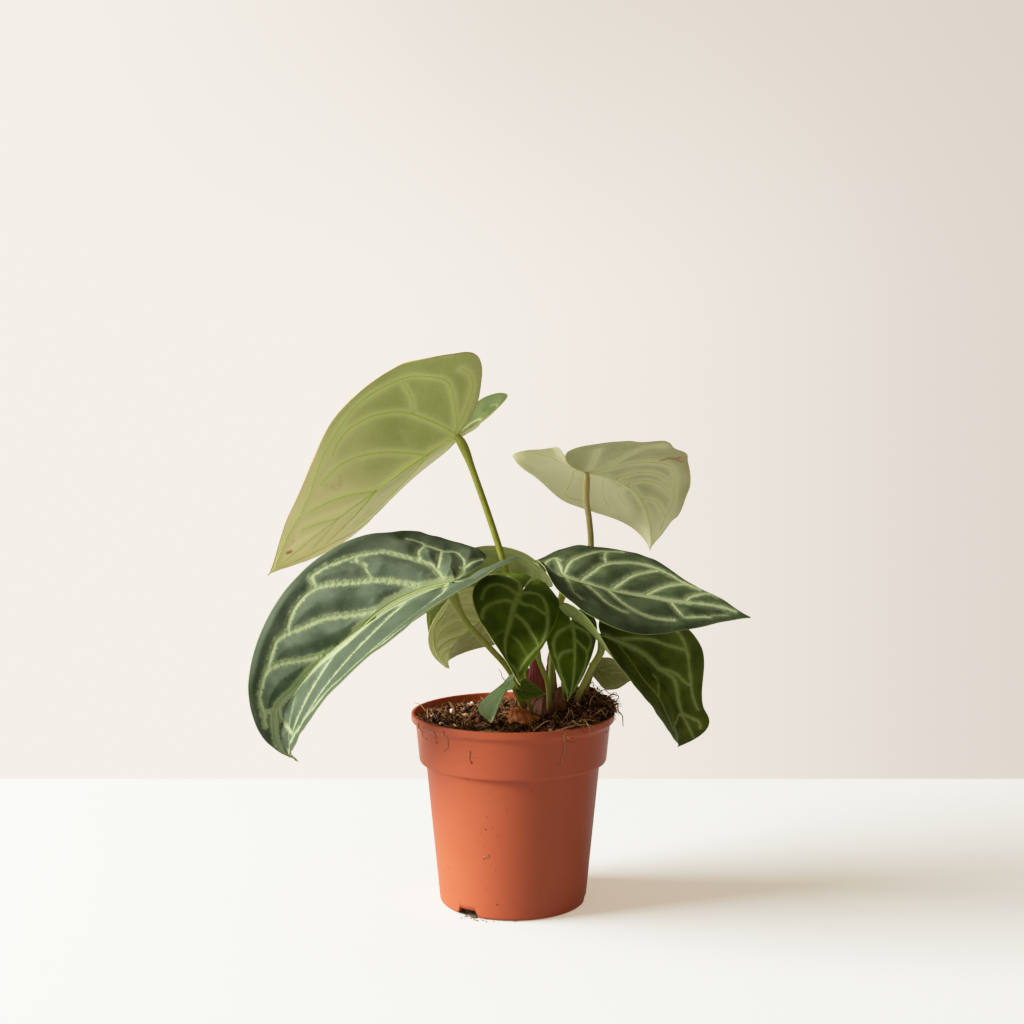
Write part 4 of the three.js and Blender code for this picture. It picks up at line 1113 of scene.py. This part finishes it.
def finish_material(name, build, **surface):
    """A material on one Principled shader: build adds its nodes and returns what is linked."""
    material = bpy.data.materials.new(name)
    material.use_nodes = True
    tree = material.node_tree
    shader = tree.nodes["Principled BSDF"]
    for socket, value in surface.items():
        shader.inputs[socket.replace("_", " ")].default_value = value
    for socket, value in build(tree).items():
        if socket == "Height":
            bump = add(tree, "Bump", {"Height": value, "Strength": 1.0, "Distance": 1.0})
            tree.links.new(bump.outputs["Normal"], shader.inputs["Normal"])
        else:
            tree.links.new(value, shader.inputs[socket])
    return material


def new_group(name, inputs, outputs, kinds=("Float", "Float")):
    """A node group with named inputs and outputs, and a function that links its results."""
    tree = bpy.data.node_groups.new(name, "ShaderNodeTree")
    for label, value in inputs.items():
        socket = tree.interface.new_socket(label, in_out="INPUT", socket_type="NodeSocket" + kinds[0])
        if value is not None:
            socket.default_value = value
    for label in outputs:
        tree.interface.new_socket(label, in_out="OUTPUT", socket_type="NodeSocket" + kinds[1])
    result = tree.nodes.new("NodeGroupOutput")

    def give(*values):
        for label, value in zip(outputs, values):
            tree.links.new(value, result.inputs[label])

    return tree, tree.nodes.new("NodeGroupInput").outputs, give


def use_group(tree, group, **values):
    """Places a group in a material with its own values and returns its outputs."""
    return add(tree, "Group", values, node_tree=group).outputs


def feathered_veins():
    """Where the pale bands of the veins lie: the band's depth, frayed by noise that runs fast along
    the vein and slowly across it, so that the edge has fine teeth; inside it the same streaks show
    faintly. Halo is the same band, wider and softer; Groove rises away from the vein's middle."""
    tree, given, give = new_group("feathered veins", {"Teeth": 1.0, "Soft": 0.35, "Wide": 1.5},
                                  ("Mask", "Halo", "Groove"))
    band, away, along, strength = (attribute(tree, name) for name in ("band", "away", "along", "strength"))

    def streaks(fast, slow):
        place = add(tree, "CombineXYZ", {"X": times(along, fast), "Y": times(away, slow)}).outputs[0]
        return noise(place, 1.0, 1.0)

    teeth = calc("SUBTRACT", streaks(1.7, 0.3), 0.5)
    wander = calc("SUBTRACT", noise(flat_map(tree), 260.0, 3.0), 0.5)
    frayed = calc("ADD", times(teeth, 2.6), times(wander, 2.2))
    depth = calc("ADD", band, times(frayed, given["Teeth"]))
    mask = ramp(depth, times(given["Soft"], -1.0), given["Soft"])
    streaky = times(mask, ramp(streaks(2.6, 0.5), 0.3, 0.6, 0.7, 1.0))
    halo = ramp(depth, times(given["Wide"], -1.0), given["Soft"])
    give(times(streaky, strength), times(halo, strength), ramp(away, 0.0, 1.6))
    return tree


def leaf_mottle():
    """Slow cloudy change over a blade, a fine grain, and a net of the smallest veins; all from 0 to 1."""
    tree, given, give = new_group("leaf mottle", {"Cloud": 60.0, "Grain": 2200.0, "Mesh": 190.0},
                                  ("Clouds", "Grains", "Net"))
    flat = flat_map(tree)
    clouds = noise(flat, given["Cloud"], 3.0)
    both = add(tree, "CombineXYZ", {"X": clouds, "Y": clouds}).outputs[0]
    shift = add(tree, "VectorMath", {0: both, "Scale": 0.012}, operation="SCALE").outputs[0]
    bent = add(tree, "VectorMath", {0: flat, 1: shift}, operation="ADD").outputs[0]
    cells = add(tree, "TexVoronoi", {"Vector": bent, "Scale": given["Mesh"]},
                feature="DISTANCE_TO_EDGE", voronoi_dimensions="2D").outputs["Distance"]
    give(clouds, noise(flat, given["Grain"], 2.0, 0.7), ramp(cells, 0.09, 0.0))
    return tree


def velvet(name, dark, light, vein, rim, rough, specular, teeth=1.0, soft=0.4, wide=2.0, halo=0.3,
           net=0.035, haze=1.0, margin=0.35, **surface):
    """The upper face of a blade: cloudy dark tissue, darkest along the margin (partly its own colour,
    partly painted shade) and painted dark as shade where pale is below 0, with a faint net, frayed pale
    veins that fade into it, and a thin paler edge."""
    def build(tree):
        veins = use_group(tree, VEIN_GROUP, Teeth=teeth, Soft=soft, Wide=wide)
        mottle = use_group(tree, MOTTLE_GROUP)
        edge, pale = attribute(tree, "edge"), attribute(tree, "pale")
        colour = mix(ramp(mottle["Clouds"], 0.3, 0.72), dark, light)
        # Painted shade: where pale is below 0 the tissue turns towards the dark colour.
        colour = mix(ramp(pale, 0.0, -0.5, 0.0, 0.85), colour, dark)
        # Darker along the margin: partly the tissue's own colour, partly painted shade.
        colour = mix(ramp(edge, 13.0, 2.0, 0.0, margin), colour, dark)
        colour = mix(ramp(mottle["Grains"], 0.35, 0.75, 0.0, 0.3), colour, dark)
        colour = mix(times(mottle["Net"], net), colour, vein)
        colour = mix(times(pale, haze), colour, vein)
        colour = mix(times(veins["Halo"], halo), colour, vein)
        specks = ramp(mottle["Grains"], 0.3, 0.7, 0.78, 1.0)
        colour = mix(times(veins["Mask"], specks), colour, vein)
        colour = mix(ramp(edge, 0.8, 0.1), colour, rim)
        height = calc("ADD", times(veins["Groove"], 0.0004), times(mottle["Grains"], GRAIN_HEIGHT))
        return {"Base Color": mix(attribute(tree, "mark"), colour, BLEMISH), "Height": height}
    return finish_material(name, build, Roughness=rough, Specular_IOR_Level=specular, **surface)


def underside(name, tissue, pale, rib, core, rim, tip, reach, specular, glow):
    """The lower face of a blade: greener between the ribs and paler beside them, cloudy, with a
    faint net and the ribs' own core colour, turning to another colour towards its tip over the
    given reach in metres along the midrib. Light that comes through is a faint glow."""
    def build(tree):
        mottle = use_group(tree, MOTTLE_GROUP, Cloud=45.0)
        away = attribute(tree, "away")
        cloudy = ramp(mottle["Clouds"], 0.3, 0.7, 0.0, 0.6)
        colour = mix(calc("ADD", ramp(away, 9.0, 1.0, 0.0, 0.5), cloudy), tissue, pale)
        run = add(tree, "SeparateXYZ", {0: flat_map(tree)}).outputs["X"]
        far = calc("MAXIMUM", ramp(run, *reach), attribute(tree, "pale"))
        colour = mix(far, colour, tip)
        colour = mix(times(mottle["Net"], 0.12), colour, rib)
        colour = mix(ramp(away, 4.5, 0.4, 0.0, 0.5), colour, rib)
        fresh = calc("SUBTRACT", 1.0, times(far, 0.9))
        colour = mix(times(ramp(away, 1.0, 0.3, 0.0, 0.8), fresh), colour, core)
        colour = mix(ramp(attribute(tree, "edge"), 0.9, 0.2, 0.0, 0.8), colour, rim)
        colour = mix(attribute(tree, "mark"), colour, BLEMISH)
        return {"Base Color": colour, "Emission Color": colour,
                "Height": times(mottle["Grains"], GRAIN_HEIGHT)}
    return finish_material(name, build, Roughness=0.5, Specular_IOR_Level=specular, Emission_Strength=glow)


def stem_skin(name, dark, light, top):
    """A stem: mottled, red-brown at the foot, another colour below the blade."""
    def build(tree):
        green = mix(noise(coords(tree), 420.0, 3.0), dark, light)
        topped = mix(ramp(attribute(tree, "up"), 42.0, 12.0), green, top)
        return {"Base Color": mix(ramp(attribute(tree, "foot"), 22.0, 5.0), topped, (112, 56, 34))}
    return finish_material(name, build, Roughness=0.42, Specular_IOR_Level=0.4)


def dry_skin(name, dark, light, flush, **surface):
    """A dry scale: fine lengthwise fibres, blotched with the flush colour."""
    def build(tree):
        across, height = times(attribute(tree, "across"), 22.0), times(attribute(tree, "height"), 3.0)
        fibre = noise(add(tree, "CombineXYZ", {"X": across, "Y": height}).outputs[0], 1.0, 3.0)
        ground = mix(ramp(fibre, 0.35, 0.7), dark, light)
        return {"Base Color": mix(ramp(noise(coords(tree), 160.0, 3.0), 0.5, 0.75), ground, flush),
                "Height": times(fibre, 0.0002)}
    return finish_material(name, build, Roughness=0.6, **surface)


def plain(name, build, rough, specular):
    """A material whose nodes are added by a function of their own."""
    return finish_material(name, build, Roughness=rough, Specular_IOR_Level=specular)


def terracotta(tree):
    """Terracotta-coloured plastic with faint clouding and a fine grain."""
    place = coords(tree)
    return {"Base Color": mix(noise(place, 30.0, 3.0), (182, 80, 49), (192, 88, 55)),
            "Height": times(noise(place, 900.0), 0.00002)}


def soil_dark(tree):
    """Dark bark soil with lighter fibrous flecks."""
    place = coords(tree)
    return {"Base Color": mix(ramp(noise(place, 500.0, 4.0, 0.7), 0.38, 0.72), (20, 8, 3), (88, 52, 30)),
            "Height": times(noise(place, 900.0, 3.0), 0.0008)}


def soil_chip(tree):
    """Chips from nearly black through brown to a few tan ones."""
    tone = attribute(tree, "tone")
    dark = mix(ramp(tone, 0.1, 0.9), (24, 10, 4), (128, 78, 44))
    tan = mix(ramp(tone, 0.84, 1.0), dark, (196, 152, 106))
    return {"Base Color": mix(times(noise(coords(tree), 900.0, 3.0), 0.5), tan, (40, 20, 10))}


def dry_fibre(tree):
    """Coir and dry root: brown to straw, changing from one to the next and along each."""
    brown = mix(ramp(attribute(tree, "tone"), 0.1, 1.0), (38, 19, 9), (192, 142, 94))
    grain = noise(coords(tree), 700.0, 3.0)
    return {"Base Color": mix(ramp(grain, 0.4, 0.7, 0.0, 0.5), brown, (50, 26, 13))}


def perlite(tree):
    """Off-white volcanic glass beads with fine pits."""
    pits = noise(coords(tree), 1400.0, 3.0)
    return {"Base Color": mix(pits, (214, 198, 174), (242, 231, 212)), "Height": times(pits, 0.0002)}


def crown_brown(tree):
    """Brown fibrous skin."""
    return {"Base Color": mix(noise(coords(tree), 300.0, 4.0), (56, 29, 14), (124, 70, 36))}


BLEMISH = (158, 88, 52)
GRAIN_HEIGHT = 0.00006
VEIN_GROUP = feathered_veins()
MOTTLE_GROUP = leaf_mottle()
# Upper faces: dark, light, vein and rim colours, roughness and shine. Lower faces: tissue, pale,
# rib, core, rim and tip colours, the reach of the tip's colour (m), shine and glow.
UPPER = {
    # velvet_old's colours are partly the tissue's own and partly painted sheen: greyer and lighter than the
    # bare tissue.
    "velvet_old": ((58, 69, 50), (94, 105, 83), (150, 165, 116), (100, 114, 72), 0.68, 0.08,
                   {"teeth": 1.15, "halo": 0.28, "margin": 0.8}),
    "velvet_dark": ((38, 50, 28), (74, 86, 56), (148, 161, 112), (84, 98, 56), 0.62, 0.1,
                    {"teeth": 0.9, "soft": 0.7, "wide": 2.8, "halo": 0.35}),
    "velvet_fresh": ((50, 62, 26), (72, 84, 40), (122, 134, 80), (104, 108, 54), 0.6, 0.12,
                     {"teeth": 0.6, "wide": 2.6, "haze": 0.15}),
    "velvet_green": ((54, 72, 2), (86, 104, 6), (150, 168, 84), (120, 144, 44), 0.6, 0.08,
                     {"teeth": 0.35, "soft": 0.9, "wide": 2.6, "halo": 0.18, "net": 0.0}),
    "velvet_small": ((62, 78, 12), (90, 106, 28), (104, 118, 42), (104, 120, 44), 0.6, 0.12,
                     {"teeth": 0.1}),
    "velvet_deep": ((58, 70, 6), (94, 104, 24), (146, 160, 84), (104, 118, 46), 0.6, 0.1,
                    {"teeth": 0.5, "soft": 0.7, "wide": 2.4, "halo": 0.2, "net": 0.01}),
    # velvet_blue is painted pale and glows faintly: painted light for a young leaf that lies in shade.
    "velvet_blue": ((190, 206, 162), (210, 222, 182), (218, 230, 192), (204, 218, 170), 0.6, 0.15,
                    {"teeth": 0.2, "Emission_Color": srgb(136, 160, 110), "Emission_Strength": 0.14}),
    "velvet_olive": ((116, 120, 56), (146, 148, 82), (168, 170, 106), (160, 160, 96), 0.5, 0.3,
                     {"teeth": 0.2}),
}
LOWER = {
    "underside_tall": ((156, 163, 88), (182, 188, 110), (216, 220, 140), (180, 194, 84), (186, 136, 76),
                       (250, 236, 168), (0.025, 0.125), 0.2, 0.17),
    "underside_grey": ((164, 164, 106), (194, 192, 134), (224, 224, 172), (202, 206, 128), (180, 164, 100),
                       (236, 232, 180), (0.066, 0.104), 0.25, 0.13),
    "underside_pale": ((124, 136, 70), (150, 160, 94), (176, 186, 118), (150, 164, 80), (150, 158, 86),
                       (152, 162, 94), (0.05, 0.15), 0.3, 0.05),
    "underside_olive": ((152, 151, 84), (182, 179, 115), (206, 204, 144), (168, 172, 96), (140, 146, 66),
                        (112, 132, 36), (0.036, 0.05), 0.3, 0.08),
}
OTHERS = {
    "stem_green": (stem_skin, (114, 117, 28), (154, 155, 58), (148, 152, 46)),
    "stem_blush": (stem_skin, (116, 112, 40), (154, 146, 68), (182, 162, 100)),
    "stem_light": (stem_skin, (134, 136, 42), (170, 167, 76), (150, 154, 54)),
    "scale_red": (dry_skin, (118, 30, 32), (164, 62, 60), (136, 40, 42)),
    "scale_pink": (dry_skin, (122, 66, 50), (184, 124, 98), (150, 80, 62)),
    "scale_brown": (dry_skin, (92, 50, 28), (164, 100, 56), (120, 62, 32)),
    "terracotta": (plain, terracotta, 0.42, 0.25),
    "soil_dark": (plain, soil_dark, 0.95, 0.1),
    "soil_chip": (plain, soil_chip, 0.9, 0.1),
    "dry_fibre": (plain, dry_fibre, 0.85, 0.15),
    "perlite": (plain, perlite, 0.8, 0.5),
    "crown_brown": (plain, crown_brown, 0.8, 0.5),
}
LOOKS = {name: velvet(name, *row[:-1], **row[-1]) for name, row in UPPER.items()}
LOOKS.update({name: underside(name, *row) for name, row in LOWER.items()})
LOOKS.update({name: make(name, *row) for name, (make, *row) in OTHERS.items()})
# The papery scale glows faintly: painted light, as of light coming through it.
LOOKS["scale_papery"] = dry_skin("scale_papery", (140, 70, 18), (204, 118, 40), (160, 80, 20),
                                 Emission_Color=srgb(190, 104, 30), Emission_Strength=0.04)

# ---------------------------------------------------------------- the plant and its pot

for leaf_name, leaf_shape in LEAVES.items():
    make_leaf(leaf_name, leaf_shape)
    make_stem(leaf_name, leaf_shape)
make_pot()
make_soil()
make_chips("bark_chips", 1500, 0.4, 0.4, SEED)
make_chips("soil_crumbs", 9000, 0.28, 0.12, SEED + 5)
make_fibres()
make_tufts()
make_loose_bits()
make_perlite()
make_crown()
for scale_name, scale_shape in SCALES.items():
    make_scale(scale_name, *scale_shape)

# ---------------------------------------------------------------- stage, light and camera

CAMERA = SimpleNamespace(place=(-0.58, -968.0, 313.5), down=4.87, focal=1662.0, frame=1024.0, sensor=36.0)
TABLE_BACK = 289.0
# The wall's shade at a spot of the floor far back goes by its direction from this fixed place (m).
ROOM_FRONT = (0.0, -1.0, 0.0)
# How the picture shows light, brightest last: the light of a surface and the brightness it gets.
SHOULDER = [(0.0, 0.0), (0.27, 0.27), (0.475, 0.445), (0.84, 0.665), (1.29, 0.84), (1.68, 0.94), (2.2, 1.0)]
# The table's colour for other surfaces and for the camera, the dark painted shade under the pot, and its
# faint glow, which fades out there.
TABLE_LIT = (0.27, 0.31, 0.31, 1.0)
TABLE_SEEN = (0.56, 0.645, 0.66, 1.0)
PAINTED_SHADE_UNDER_POT = (0.1, 0.085, 0.075, 1.0)
TABLE_GLOW = (1.0, 0.76, 0.54, 1.0)
POT_SHADE = (0.040, 0.0425)


def light_of(*display):
    """The light a surface has to send to be shown in a display colour."""
    light, shown = zip(*SHOULDER)
    return (*np.interp(srgb(*display)[:3], shown, light).tolist(), 1.0)


def backdrop_group():
    """The pale wall's colour for a direction, with painted shade: a little darker to the right, and above
    the middle.
    """
    tree, given, give = new_group("pale wall", {"Direction": None}, ["Color"], ("Vector", "Color"))
    x, y, z = add(tree, "SeparateXYZ", {0: given[0]}).outputs[:3]
    ahead = ramp(y, 0.5, 0.9)
    colour = mix(ramp(x, -0.12, 0.16), light_of(243, 239, 232), light_of(236, 229, 221))
    colour = mix(ramp(x, 0.08, 0.32), colour, light_of(222, 214, 205))
    colour = mix(ahead, light_of(242, 238, 231), colour)
    above = times(times(ramp(z, 0.02, 0.26), ramp(x, -0.3, 0.05)), ahead)
    give(mix(times(above, 0.6), colour, light_of(216, 205, 193)))
    return tree


WALL_GROUP = backdrop_group()


def wall_colour(direction):
    """The wall's colour where the direction points."""
    return use_group(direction.id_data, WALL_GROUP, Direction=direction)[0]


def make_floor(size=30000.0):
    """A wide floor: a white table top, and the wall's own glow beyond the table's back edge."""
    points = np.array([(-size, -size, 0), (size, -size, 0), (size, size, 0), (-size, size, 0)])
    mesh = new_mesh("floor", points, [(0, 1, 2, 3)])
    floor = new_object("floor", mesh)

    def build(tree):
        place = coords(tree)
        seen = add(tree, "LightPath").outputs["Is Camera Ray"]
        out = add(tree, "VectorMath", {0: place}, operation="LENGTH").outputs["Value"]
        white = mix(seen, TABLE_LIT, TABLE_SEEN)
        line = add(tree, "VectorMath", {0: place, 1: ROOM_FRONT}, operation="SUBTRACT").outputs[0]
        direction = add(tree, "VectorMath", {0: line}, operation="NORMALIZE").outputs[0]
        glow = add(tree, "Emission", {"Color": wall_colour(direction)}).outputs[0]
        back = TABLE_BACK * MM
        depth = add(tree, "SeparateXYZ", {0: place}).outputs["Y"]
        behind = calc("MAXIMUM", ramp(depth, back - 0.002, back + 0.004), times(ramp(out, 0.9, 2.2), seen))
        table = tree.nodes["Principled BSDF"].outputs[0]
        both = add(tree, "MixShader", {0: behind, 1: table, 2: glow}).outputs[0]
        tree.links.new(both, tree.nodes["Material Output"].inputs["Surface"])
        # Painted shade: under the pot the table turns dark and its glow fades out.
        return {"Base Color": mix(ramp(out, *POT_SHADE), PAINTED_SHADE_UNDER_POT, white),
                "Emission Strength": times(ramp(out, *POT_SHADE, 0.02, 0.53),
                                           ramp(seen, 0.0, 1.0, 0.35, 1.0))}

    mesh.materials.append(finish_material("table_top", build, Emission_Color=TABLE_GLOW, Roughness=0.7,
                                          Specular_IOR_Level=0.0))


def make_world():
    """Pale wall for the camera; for the light, bright from the left and above and dim from the right."""
    world = bpy.data.worlds.new("studio")
    bpy.context.scene.world = world
    world.use_nodes = True
    tree = world.node_tree
    direction = coords(tree, "Generated")
    x, _, z = add(tree, "SeparateXYZ", {0: direction}).outputs[:3]
    level = mix(ramp(x, -0.6, 0.6), (142, 132, 122), (80, 62, 56))
    fill = mix(ramp(z, 0.0, 0.9), level, (158, 150, 138))
    seen = add(tree, "LightPath").outputs["Is Camera Ray"]
    tree.links.new(mix(seen, fill, wall_colour(direction)), tree.nodes["Background"].inputs["Color"])


def make_light(name, place, target, width, power, colour):
    """A soft square light at a place, aimed at a target."""
    light = bpy.data.lights.new(name, "AREA")
    light.shape = "SQUARE"
    light.size = width * MM
    light.energy = power
    light.color = colour
    holder = new_object(name, light)
    x, y, z = np.subtract(target, place)
    holder.rotation_euler = (math.atan2(math.hypot(x, y), -z), 0, math.atan2(y, x) - math.pi / 2)
    holder.location = np.multiply(place, MM)


def make_camera():
    """The camera: level pitched down a little, with the focal length in picture widths."""
    lens = bpy.data.cameras.new("camera")
    lens.sensor_width = CAMERA.sensor
    lens.lens = CAMERA.focal / CAMERA.frame * CAMERA.sensor
    camera = new_object("camera", lens)
    camera.location = np.multiply(CAMERA.place, MM)
    camera.rotation_euler = (math.radians(90 - CAMERA.down), 0, 0)
    bpy.context.scene.camera = camera


def set_shoulder():
    """Shows dark and middle light as it is and rounds off the brightest."""
    view = bpy.context.scene.view_settings
    view.view_transform = "Standard"
    view.use_curve_mapping = True
    curves = view.curve_mapping
    top = SHOULDER[-1][0]
    curves.white_level = (top, top, top)
    for light, shown in SHOULDER[1:-1]:
        curves.curves[3].points.new(light / top, shown)
    curves.update()


make_floor()
make_world()
make_light("window", (-3744, -512, 1992), (0, 0, 120), 2500, 680, (1.0, 0.985, 0.965))
make_camera()
set_shoulder()
